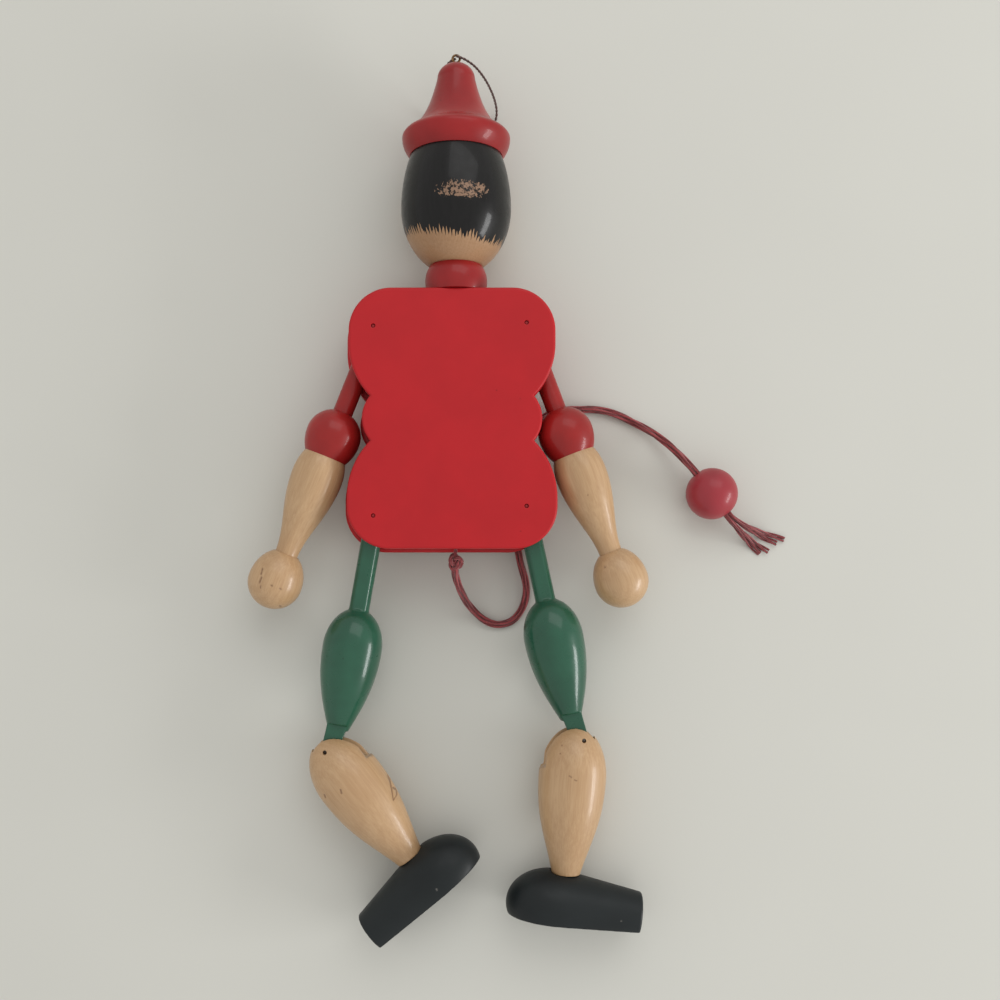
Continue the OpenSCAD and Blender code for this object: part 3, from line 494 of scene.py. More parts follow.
# Hanging thread through the eye
neckX = 2.2
threadSet = {"diameter": 0.9, "strands": 2, "strandRadius": 0.3, "layRadius": 0.2, "turn": 3.0}
threadRoute = [
    (0.2, 139.4, -0.95), (3.2, 138.4, -0.6), (6.8, 136.8, 1.4), (9.8, 134.8, 4.6), (12.4, 132.6, 9),
    (14.6, 130, 14.4), (15.8, 127, 19), (15.4, 123.6, 21), (13, 120.8, 21.2), (9, 119, 21.2),
    (4, 118.2, 21.2), (-1, 118.6, 21.2), (-5.4, 120.4, 21.2), (-8.4, 123.4, 20.8), (-9.8, 127, 19),
    (-9.2, 130.6, 15.6), (-7.6, 133.8, 11), (-5.4, 136.4, 6.2), (-2.8, 138.4, 2.4), (-0.2, 139.3, 1)]
threadLine = smoothRoute([(neckX + x, y, limbZ - d) for x, y, d in threadRoute])
hangingThread = yarn("hangingThread", threadLine, darkYarn, threadSet, step=0.25)
dress(hangingThread, "torso", "hanging_thread")
print("cords laid")

# Exit knot, centre string, its ties and the limb strings inside the torso
stringSet = {"strands": 2, "strandRadius": 0.42, "layRadius": 0.36, "turn": 6, "hole": 1.0, "end": 2.9,
             "lead": 0.03, "gap": 1.3}
centreSet = {"top": 35.8, "strands": 3, "strandRadius": 0.44, "layRadius": 0.36, "turn": 7}
tieSet = {"radius": 1.0, "turns": 2.5, "height": 2.4, "steps": 20, "strands": 1, "strandRadius": 0.4,
          "layRadius": 0.0, "turn": 5, "y": {"arm": 34.61, "leg": -30.18},
          "name": {"arm": "stringTies", "leg": "stringTiesLow"}}


# A knot's three crossings: two turns round while the strand goes in and out three times
def knotLine(middle, radius, tube, steps=96):
    line = []
    for i in range(steps + 1):
        a = math.tau * i / steps
        wide = radius * (1 + 0.42 * math.cos(3 * a))
        spot = Vector((wide * math.cos(2 * a), 1.25 * wide * math.sin(2 * a), tube * math.sin(3 * a)))
        line.append(middle + spot * mm)
    return line


stringZ = knotSet["z"]
knotMiddle = Vector((knotSet["x"], knotSet["y"], stringZ)) * mm
knot = yarn("exitKnot", knotLine(knotMiddle, knotSet["radius"], knotSet["tube"]), redYarn, knotSet, step=0.3)
dress(knot, "pull_strings", "exit_knot")
centreLine = [Vector((knotSet["x"], y, stringZ)) * mm for y in (centreSet["top"], 0, knotEnd)]
centre = yarn("centreString", centreLine, redYarn, centreSet)
dress(centre, "pull_strings", "centre_string")


def tieLine(y):
    s = tieSet
    count = int(s["turns"] * s["steps"])
    turns = [(math.tau * i / s["steps"], i / count) for i in range(count + 1)]
    return [Vector((knotSet["x"] + s["radius"] * math.cos(a), y + s["height"] * (0.5 - share),
                    stringZ + s["radius"] * math.sin(a))) * mm for a, share in turns]


for limb, y in tieSet["y"].items():
    tie = yarn(tieSet["name"][limb], tieLine(y), redYarn, tieSet, step=0.3)
    dress(tie, "pull_strings", "string_ties")
tailHoles = {"arm": {"joint": "_shoulder", "up": 8, "angle": {"left": 21.8, "right": 20.8}},
             "leg": {"joint": "_hip", "up": 14, "angle": {"left": 10.0, "right": 12.2}}}
for side, sign in sides.items():
    for limb, s in tailHoles.items():
        angle = math.radians(s["angle"][side])
        along = Vector((-sign * math.sin(angle), math.cos(angle), 0))
        hole = jointPlace[side + s["joint"]] / mm + along * s["up"]
        way = Vector((knotSet["x"], tieSet["y"][limb], 0)) - Vector((hole.x, hole.y, 0))
        reach = (way.length - stringSet["gap"]) / way.length
        points = [(hole.x, hole.y, z) for z in (limbZ - stringSet["end"], limbZ, stringZ - 0.5)]
        points += [(hole.x + share * way.x, hole.y + share * way.y, stringZ)
                   for share in (stringSet["lead"], reach)]
        stringLine = smoothRoute(points)
        string = yarn("%s%sString" % (side, limb.title()), stringLine, redYarn, stringSet)
        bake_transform(string)
        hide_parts("%s_%s_string" % (side, limb))
print("strings and knots tied")


# Turned pieces: the outline is a list of distance and radius along the turning axis
def bulge(widest, radius, run, endRadius, steps=32):
    length = run / math.sqrt(1 - (endRadius / radius) ** 2)
    top = math.asin(min(1, run / length))
    turns = [top * i / steps for i in range(steps + 1)]
    return [(widest + length * math.sin(a), radius * math.cos(a)) for a in turns]


def bulgeIn(widest, radius, run, endRadius, steps=32):
    return [(2 * widest - u, r) for u, r in reversed(bulge(widest, radius, run, endRadius, steps))]


def bezier(*knots, steps=40):
    line = []
    for i in range(1, steps + 1):
        points = [Vector(k) for k in knots]
        while len(points) > 1:
            points = [a.lerp(b, i / steps) for a, b in zip(points, points[1:])]
        line.append(tuple(points[0]))
    return line


def solid(name, bm):
    bmesh.ops.recalc_face_normals(bm, faces=bm.faces)
    mesh = bpy.data.meshes.new(name)
    bm.to_mesh(mesh)
    bm.free()
    return linked(name, mesh)


def turned(name, outline, count=128, closed=False):
    bm = bmesh.new()
    rings = []
    for u, r in outline:
        if rings and abs(u - last[0]) + abs(r - last[1]) < 1e-4:
            continue
        last = (u, r)
        if r < 1e-4:
            rings.append([bm.verts.new((0, 0, u))])
            continue
        angles = [math.tau * k / count for k in range(count)]
        rings.append([bm.verts.new((r * math.cos(a), r * math.sin(a), u)) for a in angles])
    pairs = list(zip(rings, rings[1:] + rings[:1] if closed else rings[1:]))
    for low, high in pairs:
        for k in range(count):
            n = (k + 1) % count
            corners = [low[k % len(low)], low[n % len(low)], high[n % len(high)], high[k % len(high)]]
            bm.faces.new(dict.fromkeys(corners))
    if not closed:
        for ring in (rings[0], rings[-1]):
            if len(ring) > 1:
                bm.faces.new(ring)
    return solid(name, bm)


def cutter(name, points, low, high):
    bm = bmesh.new()
    foot = [bm.verts.new((x, y, low)) for x, y in points]
    top = [bm.verts.new((x, y, high)) for x, y in points]
    bm.faces.new(foot)
    bm.faces.new(top)
    for k in range(len(points)):
        n = (k + 1) % len(points)
        bm.faces.new((foot[k], foot[n], top[n], top[k]))
    return solid(name, bm)


def circle(x, y, radius, count=32, start=0.0, end=math.tau):
    full = abs(end - start) >= math.tau - 1e-6
    turns = [start + (end - start) * k / count for k in range(count if full else count + 1)]
    return [(x + radius * math.cos(a), y + radius * math.sin(a)) for a in turns]


def box(name, low, high):
    corners = [(low[0], low[1]), (high[0], low[1]), (high[0], high[1]), (low[0], high[1])]
    return cutter(name, corners, low[2], high[2])


def carved(piece, tool, operation="DIFFERENCE"):
    modifier = piece.modifiers.new("cut", "BOOLEAN")
    modifier.operation = operation
    modifier.solver = "EXACT"
    modifier.object = tool
    baked(piece)
    bpy.data.objects.remove(tool)


past = 30  # further out than any limb's own section


def drilled(piece, x, y, radius, low=-past, high=past):
    carved(piece, cutter("hole", circle(x, y, radius, 24), low, high))


def flattened(piece, low, high, flat):
    for sign in (-1, 1):
        near, far = sorted((sign * flat, sign * past))
        carved(piece, box("flat", (-past, low, near), (past, high, far)))


def softened(piece, voxel, rounds):
    remesh = piece.modifiers.new("even", "REMESH")
    remesh.mode = "VOXEL"
    remesh.voxel_size = voxel
    smooth = piece.modifiers.new("ease", "SMOOTH")
    smooth.factor = 0.5
    smooth.iterations = rounds
    baked(piece)


# Dents and stains: each is a line on the upper side, with its half-width and depth
def marked(piece, marks):
    mesh = piece.data
    layer = mesh.attributes.new("mark", "FLOAT", "POINT")
    normals = [v.normal.copy() for v in mesh.vertices]
    for v, normal in zip(mesh.vertices, normals):
        spot = Vector((v.co.x, v.co.y)) / mm
        deepest = 0.0
        for line, half, depth in marks:
            pairs = list(zip(line, line[1:])) or [(line[0], line[0])]
            away = min(fromLine(spot, Vector(a), Vector(b)) for a, b in pairs)
            share = 1 - min(1, away / half)
            share = share * share * (3 - 2 * share) if normal.z > 0 else 0
            layer.data[v.index].value = max(layer.data[v.index].value, min(1, 1.6 * share))
            deepest = max(deepest, depth * share)
        v.co -= normal * deepest * mm


def fromLine(p, a, b):
    way = b - a
    t = 0 if way.length < 1e-9 else min(1, max(0, (p - a).dot(way) / way.length_squared))
    return (p - a - way * t).length


alongNeck = Matrix.Rotation(math.radians(-90), 4, "X")
alongLimb = Matrix.Rotation(math.radians(90), 4, "X")


def neckPlace(y):
    return Matrix.Translation((neckX * mm, y * mm, limbZ * mm)) @ alongNeck


def limbPlace(side, joint, angle):
    turn = Matrix.Rotation(math.radians(sides[side] * angle), 4, "Z")
    mirror = Matrix.Scale(sides[side], 4, (1, 0, 0))
    return Matrix.Translation(jointPlace[side + joint]) @ turn @ mirror


# Torso boards: lobes, notches and round corners, with eased edges and a dent over each nail
boardSet = {"height": 97.8, "thick": 6, "shoulder": 77.5, "waist": 67.6, "hip": 79, "notch": 61.5,
            "notchY": 8.4, "shoulderY": 28, "hipY": 30, "corner": 16, "edge": 0.9, "backShift": (0.8, 0),
            "frontShift": (-1.2, -1), "frontZ": -20.6}
nailSet = {"radius": 0.8, "hole": 0.82, "loose": 0.88, "inset": 0.5, "tip": 0.25, "dent": 0.15,
           "dentRadius": 4.0, "kneeInset": 1.5, "steel": (0.20, 0.19, 0.18), "paint": (0.33, 0.010, 0.014),
           "grime": (0.09, 0.006, 0.008)}


def lobe(half, y, low, high, notch, steps=24):
    depth, reach = half - notch, max(abs(high), abs(low))
    radius = (depth ** 2 + reach ** 2) / (2 * depth)
    a, b = math.asin(low / radius), math.asin(high / radius)
    return circle(half - radius, y, radius, steps, a, b)


def boardOutline(s):
    half, notch, corner = s["height"] / 2, s["notch"] / 2, s["corner"]
    hip, waist, shoulder = s["hip"] / 2, s["waist"] / 2, s["shoulder"] / 2
    line = circle(hip - corner, corner - half, corner, 16, -math.pi / 2, 0)
    line += lobe(hip, -s["hipY"], 0, s["hipY"] - s["notchY"], notch)
    line += lobe(waist, 0, -s["notchY"], s["notchY"], notch)
    line += lobe(shoulder, s["shoulderY"], s["notchY"] - s["shoulderY"], 0, notch)
    line += circle(shoulder - corner, half - corner, corner, 16, 0, math.pi / 2)
    line += [(-x, y) for x, y in reversed(line)]
    clean = []
    for p in line:
        if not clean or math.dist(p, clean[-1]) > 0.02:
            clean.append(p)
    return clean


def board(name, shift, low, up, node):
    s, n = boardSet, nailSet
    outline = [(x + shift[0], y + shift[1]) for x, y in boardOutline(s)]
    piece = cutter(name, outline, low, low + s["thick"])
    bm = bmesh.new()
    bm.from_mesh(piece.data)
    rims = [e for e in bm.edges if abs(e.verts[0].co.z - e.verts[1].co.z) < 1e-6]
    bmesh.ops.bevel(bm, geom=rims, offset=s["edge"], segments=4, profile=0.5, affect="EDGES",
                    clamp_overlap=False)
    bm.to_mesh(piece.data)
    bm.free()
    outer = low + s["thick"] if up > 0 else low
    for joint in ("left_shoulder", "right_shoulder", "left_hip", "right_hip"):
        x, y = jointPlace[joint].x / mm, jointPlace[joint].y / mm
        drilled(piece, x, y, n["hole"], low - 1, low + s["thick"] + 1)
        ball = turned("dent", bulge(0, n["dentRadius"], n["dentRadius"], 0, 24), 48)
        lift = outer + up * (n["dentRadius"] - n["dent"])
        ball.data.transform(Matrix.Translation((x, y, lift)) @ Matrix.Scale(-up, 4, (0, 0, 1)))
        if up > 0:
            ball.data.flip_normals()
        carved(piece, ball)
    piece.data.materials.clear()
    completed(piece, Matrix.Identity(4), boardPaint, "torso", node, 30)
    for face in piece.data.polygons:  # the flat sides stay flat beside the dents
        if abs(face.normal.z) > 0.999:
            face.use_smooth = False


board("backBoard", boardSet["backShift"], -boardSet["thick"], 1, "back_board")
board("frontBoard", boardSet["frontShift"], boardSet["frontZ"], -1, "front_board")
print("boards cut")


def nails(name, spots, length, body, node, material):
    values = {"Radius": nailSet["radius"] * mm, "Length": length * mm, "Tip": nailSet["tip"] * mm,
              "Material": material}
    piece = grown(name, spots, [], nailTree, nailSockets, values)
    dress(piece, body, node)


def nailFinish():
    f = Finish("paintedNail")
    where = f.local((0, 0, limbZ * mm))
    deep = f.math("ABSOLUTE", f.parts(where)[2])
    tone = f.mix(f.ramp(deep, 8.4, 8.8), nailSet["steel"], nailSet["paint"])
    grit = f.noise(where, 2.0, 3)
    f.bump(grit, 0.3, 0.05)
    return f.finish(f.mix(f.ramp(grit, 0.4, 0.8, 0, 0.5), tone, nailSet["grime"]), 0.5)


paintedNail = nailFinish()
boardNail = -boardSet["frontZ"] - 2 * nailSet["inset"]
for limb, joint in (("arm", "_shoulder"), ("hip", "_hip")):
    spots = [jointPlace[side + joint] for side in sides]
    nails(limb + "PivotNails", spots, boardNail, "torso", limb + "_pivot_pins", paintedNail)
print("nails driven")

# Neck: collar, head and hat on one dowel
neckSet = {"collarY": 48.9, "headY": 59.3, "hatY": 101.0, "bore": 3.02, "dowelIn": 8}
collarSet = {"widest": 4.4, "radius": 11.85, "low": 11.4, "top": 9.9, "height": 10.4}
headSet = {"widest": 21.7, "radius": 21.0, "low": 10.1, "top": 17.5, "height": 41.7}
hatSet = {"height": 35.9, "brim": 20.65, "base": 17.8, "brimY": 6.9, "brimTop": 10.4, "brimTopR": 16.8,
          "drawY": 14.8, "drawR": 10.9, "tipY": 29.9, "tipR": 7.2, "eyeHole": 0.47, "shank": 9.0}


def ringOutline(s, bore):
    wall = [(s["height"], bore), (s["height"] / 2, bore), (0, bore)]
    return (bulgeIn(s["widest"], s["radius"], s["widest"], s["low"])
            + bulge(s["widest"], s["radius"], s["height"] - s["widest"], s["top"]) + wall)


def eased(outline, corner, size=0.35):
    p = [Vector(q) for q in outline]
    before, here, after = p[corner - 1], p[corner], p[(corner + 1) % len(p)]
    near = here + (before - here).normalized() * min(size, (before - here).length)
    far = here + (after - here).normalized() * min(size, (after - here).length)
    return outline[:corner] + [tuple(near)] + bezier(near, here, far, steps=4) + outline[corner + 1:]


# Painted hair with a brushed, spiky edge, bare wood below it, a rubbed patch, and a plain doll's face in front
hairSet = {"nape": 67.2, "slant": 2.1, "dip": 1.9, "fringe": 95.0, "sideFrom": 1.75, "sideTo": 2.15,
           "strokes": ((88.0, 4.2, 3.0), (143.44, 1.68, 17.0)), "rub": (2.7, 82.3), "rubHalf": (10.5, 3.6),
           "rubTone": (0.27, 0.165, 0.11)}


def headFinish():
    s = hairSet
    f = Finish("headPaint")
    where = f.local((neckX * mm, 0, limbZ * mm))
    x, y, z = f.parts(where)
    tone, fibre = woodTone(f, where, 0.6, headTones)
    angle = f.math("ARCTAN2", x, z)
    away = f.math("ABSOLUTE", angle)
    slant = f.times(f.math("SINE", angle), -s["slant"])
    dip = f.times(f.math("COSINE", angle), -s["dip"])
    nape = f.plus(f.plus(slant, dip), s["nape"])
    front = f.ramp(away, s["sideFrom"], s["sideTo"])
    edge = f.plus(f.times(nape, f.minus(1.0, front)), f.times(front, s["fringe"]))
    for count, size, seed in s["strokes"]:  # brush strokes round the head, their height in mm and a seed
        turn = f.times(f.plus(angle, math.pi + seed), count / math.tau)
        cell = f.math("FLOOR", turn)
        noise = f.add("TexWhiteNoise", {"W": f.plus(cell, seed)}, noise_dimensions="1D")
        chance = noise.outputs["Value"]
        peak = f.minus(1.0, f.math("ABSOLUTE", f.minus(f.times(f.math("FRACT", turn), 2.0), 1.0)))
        sharp = f.math("POWER", peak, 0.8)
        tall = f.times(f.plus(f.times(chance, 0.8), 0.2), size)
        edge = f.plus(edge, f.times(sharp, tall))
    hair = f.ramp(f.minus(y, edge), -0.12, 0.12)
    rubX = f.math("DIVIDE", f.minus(x, s["rub"][0]), s["rubHalf"][0])
    rubY = f.math("DIVIDE", f.minus(y, s["rub"][1]), s["rubHalf"][1])
    far = f.plus(f.times(rubX, rubX), f.times(rubY, rubY))
    zone = f.times(f.ramp(far, 0.35, 1.5, 1, 0), f.math("GREATER_THAN", z, 0.0))
    grit = f.noise(where, 0.8, 3, 0.75)
    rubbed = f.ramp(f.plus(grit, f.times(zone, 0.23)), 0.70, 0.74)
    rubbed = f.times(rubbed, f.math("GREATER_THAN", zone, 0.02))
    hair = f.times(hair, f.minus(1.0, rubbed))
    streak = f.noise(f.stretch(where, (0.8, 0.09, 0.8)), 1.0, 3)
    black, soot = (tuple(c * share for c in paintTones["hair"]) for share in (0.7, 1.6))
    black = f.mix(streak, black, soot)
    tone = doll(f, tone, x, y, z)
    tone = f.mix(rubbed, tone, s["rubTone"])
    tone = f.mix(hair, tone, black)
    film = f.plus(f.times(hair, 2.0), f.times(f.noise(where, 0.5, 3), 0.9))
    f.bump(f.plus(film, f.times(fibre, 0.5)), 0.4, 0.07)
    rough = f.plus(f.times(hair, -0.08), f.ramp(f.noise(where, 0.3, 3), 0.3, 0.7, 0.34, 0.46))
    return f.finish(tone, rough, 0.22, 0.10, shine=0.16)


faceSet = {"eyes": ((-6.4, 84.0), (6.4, 84.0)), "eye": 1.9, "cheeks": ((-10.5, 76.5), (10.5, 76.5)),
           "cheek": 3.6, "smile": (0, 79.5), "smileRadius": 6.2, "smileHalf": 0.42, "smileTop": 76.0,
           "blush": (0.50, 0.10, 0.08), "ink": (0.012, 0.011, 0.011), "lip": (0.33, 0.02, 0.025)}


def doll(f, tone, x, y, z):
    s = faceSet
    front = f.math("LESS_THAN", z, 0.0)

    def away(spot):
        dx, dy = f.minus(x, spot[0]), f.minus(y, spot[1])
        return f.math("SQRT", f.plus(f.times(dx, dx), f.times(dy, dy)))

    for spot in s["cheeks"]:
        blush = f.times(f.ramp(away(spot), s["cheek"] * 0.3, s["cheek"], 0.45, 0), front)
        tone = f.mix(blush, tone, s["blush"])
    for spot in s["eyes"]:
        dot = f.times(f.ramp(away(spot), s["eye"] - 0.1, s["eye"] + 0.1, 1, 0), front)
        tone = f.mix(dot, tone, s["ink"])
    ring = f.math("ABSOLUTE", f.minus(away(s["smile"]), s["smileRadius"]))
    lips = f.times(f.ramp(ring, s["smileHalf"] - 0.1, s["smileHalf"] + 0.1, 1, 0), front)
    lips = f.times(lips, f.math("LESS_THAN", y, s["smileTop"]))
    return f.mix(lips, tone, s["lip"])


h = hatSet
hatLine = [(neckSet["dowelIn"], 0), (neckSet["dowelIn"], neckSet["bore"]), (0, neckSet["bore"])]
hatLine += bulgeIn(h["brimY"], h["brim"], h["brimY"], h["base"])
hatLine += bulge(h["brimY"], h["brim"], h["brimTop"] - h["brimY"], h["brimTopR"])
hatLine += bezier((h["brimTop"], h["brimTopR"]), (h["drawY"], h["drawR"]), (h["tipY"], h["tipR"]))
hatLine += [p for p in bulge(h["tipY"], h["tipR"], h["height"] - h["tipY"], 0) if p[1] > h["eyeHole"]]
shankEnd = h["height"] - h["shank"]
hatLine += [(h["height"], h["eyeHole"]), (shankEnd, h["eyeHole"]), (shankEnd, 0)]
collarLine = eased(ringOutline(collarSet, neckSet["bore"]), 0, 0.6)
headLine = ringOutline(headSet, neckSet["bore"])
collar = turned("collar", collarLine, closed=True)
head = turned("head", headLine, 160, True)
hat = turned("hat", hatLine)
completed(collar, neckPlace(neckSet["collarY"]), hatPaint, "torso", "collar")
completed(head, neckPlace(neckSet["headY"]), headFinish(), "torso", "head")
completed(hat, neckPlace(neckSet["hatY"]), hatPaint, "torso", "hat")

# Screw eye: one wire, up out of the hat's tip and round into a ring
eyeSet = {"y": 138.75, "ring": 1.4, "foot": 127.9, "neck": 1.2, "from": 0.12, "open": 0.25, "steps": 36,
          "strands": 1, "strandRadius": 0.45, "layRadius": 0.0, "turn": 5}
s = eyeSet
eyeTurns = [s["from"] + (math.tau - s["open"] - s["from"]) * k / s["steps"] for k in range(s["steps"] + 1)]
eyeLine = [(neckX, s["foot"], limbZ), (neckX, s["y"] - s["ring"] - s["neck"], limbZ)]
eyeLine += [(neckX + s["ring"] * math.sin(a), s["y"] - s["ring"] * math.cos(a), limbZ) for a in eyeTurns]
eye = yarn("screwEye", [Vector(p) * mm for p in eyeLine], eyeBrass, eyeSet, step=0.2)
dress(eye, "torso", "screw_eye")
print("head and hat turned")

# Arms: painted sleeve with its ball and flat tail, bare forearm with its hand
armSet = {"rod": 3.8, "ball": 10.5, "ballU": 43.4, "ballTail": 8.4, "cuff": 8.1, "tail": 11.8,
          "flatFrom": -4.2, "flat": 1.8, "dowel": 2.52, "dowelHalf": 7.0,
          "angle": {"left": 21.8, "right": 20.8}}
forearmSet = {"radius": 9.75, "widest": 8.2, "length": 39.9, "belly": 13.3, "run": 10.0, "wrist": 4.35,
              "step": 0.4, "hand": 10.35, "handWidest": 11.6, "handLength": 21.9}
armMarks = {"left": [([(-70.3, -56.3), (-70.8, -58.4)], 0.45, 0.3),
                     ([(-70.5, -59.6), (-71.3, -61.6)], 0.5, 0.35),
                     ([(-70.9, -62.8), (-71.0, -63.6)], 0.4, 0.25),
                     ([(-66.8, -62.6), (-66.4, -62.9)], 0.45, 0.3),
                     ([(-63.6, -63.9), (-63.3, -64.1)], 0.5, 0.35), ([(-64.5, -70.6)], 0.6, 0.3)],
            "right": [([(51.7, -28.9)], 0.4, 0.2), ([(58.3, -55.8)], 0.5, 0.2)]}


def makeArm(side):
    s, t = armSet, forearmSet
    place = limbPlace(side, "_shoulder", s["angle"][side])
    cuffU = s["ballU"] + s["ballTail"]
    neck = math.sqrt(s["ball"] ** 2 - s["rod"] ** 2)
    line = [(-s["tail"], s["rod"])] + [(-s["tail"] + 0.5 * k, s["rod"]) for k in range(1, 30)]
    line += bulgeIn(s["ballU"], s["ball"], neck, s["rod"])
    line += bulge(s["ballU"], s["ball"], s["ballTail"], s["cuff"])
    line += [(cuffU, s["dowel"]), (cuffU - s["dowelHalf"], s["dowel"]), (cuffU - s["dowelHalf"], 0)]
    sleeve = turned(side + "Sleeve", line)
    sleeve.data.transform(alongLimb)
    flattened(sleeve, -s["flatFrom"], past, s["flat"])
    for y, r in ((0, nailSet["loose"]), (tailHoles["arm"]["up"], stringSet["hole"])):
        drilled(sleeve, 0, y, r)
    completed(sleeve, place, sleevePaint, side + "_arm", side + "_sleeve")
    line = [(s["dowelHalf"], 0), (s["dowelHalf"], s["dowel"]), (0, s["dowel"])]
    line += bulgeIn(t["widest"], t["radius"], t["widest"], s["cuff"])
    line += bezier((t["widest"], t["radius"]), (t["widest"] + t["belly"], t["radius"]),
                   (t["length"] - t["run"], t["wrist"]), (t["length"], t["wrist"]), steps=70)
    line += bulgeIn(t["length"] + t["handWidest"], t["hand"], t["handWidest"], t["wrist"] + t["step"])
    line += bulge(t["length"] + t["handWidest"], t["hand"], t["handLength"] - t["handWidest"], 0)
    forearm = turned(side + "Forearm", [(u + cuffU, r) for u, r in line], 168)
    pivot, angle = jointPlace[side + "_shoulder"], math.radians(sides[side] * s["angle"][side])
    wood = woodFinish(side + "ArmWood", pivot, angle, 1.2 + sides[side], marked=True)
    completed(forearm, place @ alongLimb, wood, side + "_arm", side + "_forearm",
              marks=armMarks[side])


for side in sides:
    makeArm(side)
print("arms turned")

# Legs: green thigh with a flat stem and a knee tongue, slotted shin, turned shoe with a flat sole
thighSet = {"stem": 3.875, "stemFlat": 3.2, "tail": 17.875, "tailFlat": 1.8, "shoulder": 36.5,
            "shoulderEdge": 0.5, "widest": 51, "radius": 11.35, "belly": 14.6, "run": 8.0, "flare": 3.0,
            "neck": 82.6, "tongue": 4.0, "tongueFlat": 3.0, "flatLength": 10.5, "tongueIn": 1.0,
            "tongueEnd": 3.2, "length": 90.8, "kneeShift": 2.6, "tailHole": 14.0, "voxel": 0.32,
            "rounds": 4, "angle": {"left": 10.0, "right": 12.2}}
shinSet = {"top": 4.7, "widest": 15.0, "radius": 12.9, "shift": {"left": -0.4, "right": 2.8}, "end": 52.0,
           "belly": 17.0, "run": 12.8, "flare": 3.2, "ankle": 5.4, "slot": 3.5, "slotOuter": 4.5,
           "slotDepth": 13.0, "step": 11.5, "trim": 2.0, "dowel": 3.02, "dowelHalf": 7.5, "voxel": 0.3,
           "rounds": 3, "bend": {"left": 48.0, "right": 16.1}}
shoeSet = {"length": 51.4, "radius": 13.5, "widest": 17.0, "taper": 24.0, "taperRadius": 12.9, "toe": 8.7,
           "toeEdge": 0.6, "sole": 5.0, "ankleFromHeel": 21.5, "seat": 12.4, "ankleRoom": 6.3,
           "boreFrom": -20, "tilt": 3.0, "voxel": 0.32, "rounds": 3}
shinMarks = {"left": [([(-24.5, -133.6), (-22.9, -137.2), (-22.1, -139.8), (-21.3, -143.6)], 0.32, 0.22),
                      ([(-21.3, -143.6), (-20.3, -142.2), (-20.6, -140.6), (-21.8, -139.4)], 0.3, 0.2),
                      ([(-47.1, -141.2), (-46.8, -142.2)], 0.5, 0.25),
                      ([(-40.6, -138.6), (-40.3, -139.9)], 0.5, 0.2)],
             "right": [([(42.0, -122.7)], 0.4, 0.2), ([(41.3, -125.6)], 0.4, 0.2),
                       ([(44.4, -133.4), (45.3, -134.0)], 0.3, 0.15),
                       ([(46.3, -134.9), (47.1, -135.2)], 0.3, 0.15)]}
shoeMarks = {"left": [([(-4.9, -175.2), (-4.7, -175.8)], 0.4, 0.1)], "right": [([(64.1, -188.2)], 0.4, 0.1)]}


def makeThigh(side):
    s = thighSet
    line = [(-s["tail"], s["stem"])]
    line += bulgeIn(s["widest"], s["radius"], s["widest"] - s["shoulder"], s["stem"])
    line += bezier((s["widest"], s["radius"]), (s["widest"] + s["belly"], s["radius"]),
                   (s["neck"] - s["run"], s["tongue"] + s["flare"]), (s["neck"], s["tongue"]), steps=60)
    thigh = turned(side + "Thigh", line)
    thigh.data.transform(alongLimb)
    flattened(thigh, s["shoulderEdge"] - s["shoulder"], past, s["stemFlat"])
    flattened(thigh, -s["length"] - past, s["flatLength"] - s["length"], s["tongueFlat"])
    flattened(thigh, s["tailHole"] - s["stem"], past, s["tailFlat"])
    shift, knee = s["kneeShift"], -s["length"]
    foot = s["flatLength"] / 2 - s["neck"]
    tip = circle(shift - s["tongueIn"], knee, s["tongueEnd"], 24, math.pi, math.tau)
    outline = [(-s["tongue"], foot)] + tip + [(s["tongue"], foot)]
    carved(thigh, cutter("tongue", outline, -s["tongueFlat"], s["tongueFlat"]), "UNION")
    softened(thigh, s["voxel"], s["rounds"])
    drilled(thigh, 0, 0, nailSet["loose"])
    drilled(thigh, 0, s["tailHole"], stringSet["hole"])
    drilled(thigh, shift, knee, nailSet["loose"])
    place = limbPlace(side, "_hip", s["angle"][side])
    completed(thigh, place, greenPaint, side + "_upper_leg", side + "_thigh", 50)


def shinAngle(side):
    return thighSet["angle"][side] - shinSet["bend"][side]


def makeShin(side):
    s, body = shinSet, side + "_lower_leg"
    shift = s["shift"][side]
    line = bulgeIn(s["widest"], s["radius"], s["widest"] + s["top"], 0, 48)
    line += bezier((s["widest"], s["radius"]), (s["widest"] + s["belly"], s["radius"]),
                   (s["end"] - s["run"], s["ankle"] + s["flare"]), (s["end"], s["ankle"]), steps=60)
    line += [(s["end"], s["dowel"]), (s["end"] - s["dowelHalf"], s["dowel"]), (s["end"] - s["dowelHalf"], 0)]
    shin = turned(side + "Shin", line)
    shin.data.transform(Matrix.Translation((-shift, 0, 0)) @ alongLimb)
    outer, inner = s["slotOuter"], -shift - s["radius"] - 1
    slot = [(outer, 40), (outer, -outer), (0, -outer), (inner, -s["slotDepth"]), (inner, 40)]
    carved(shin, cutter("slot", slot, -s["slot"], s["slot"]))
    carved(shin, box("trim", (-60, -s["step"], -30), (s["trim"] - shift - s["radius"], 30, 30)))
    softened(shin, s["voxel"], s["rounds"])
    drilled(shin, 0, 0, nailSet["hole"])
    knee, turn = jointPlace[side + "_knee"], math.radians(sides[side] * shinAngle(side))
    wood = woodFinish(side + "ShinWood", knee, turn, 2.3 - sides[side], marked=True)
    place = limbPlace(side, "_knee", shinAngle(side))
    completed(shin, place, wood, body, side + "_shin", 50, shinMarks[side])
    half = s["radius"] * math.sqrt(1 - (s["widest"] / (s["widest"] + s["top"])) ** 2)
    pinLength = 2 * (half - nailSet["kneeInset"])
    nails(side + "KneeNail", [knee], pinLength, body, side + "_knee_pin", nailSteel)


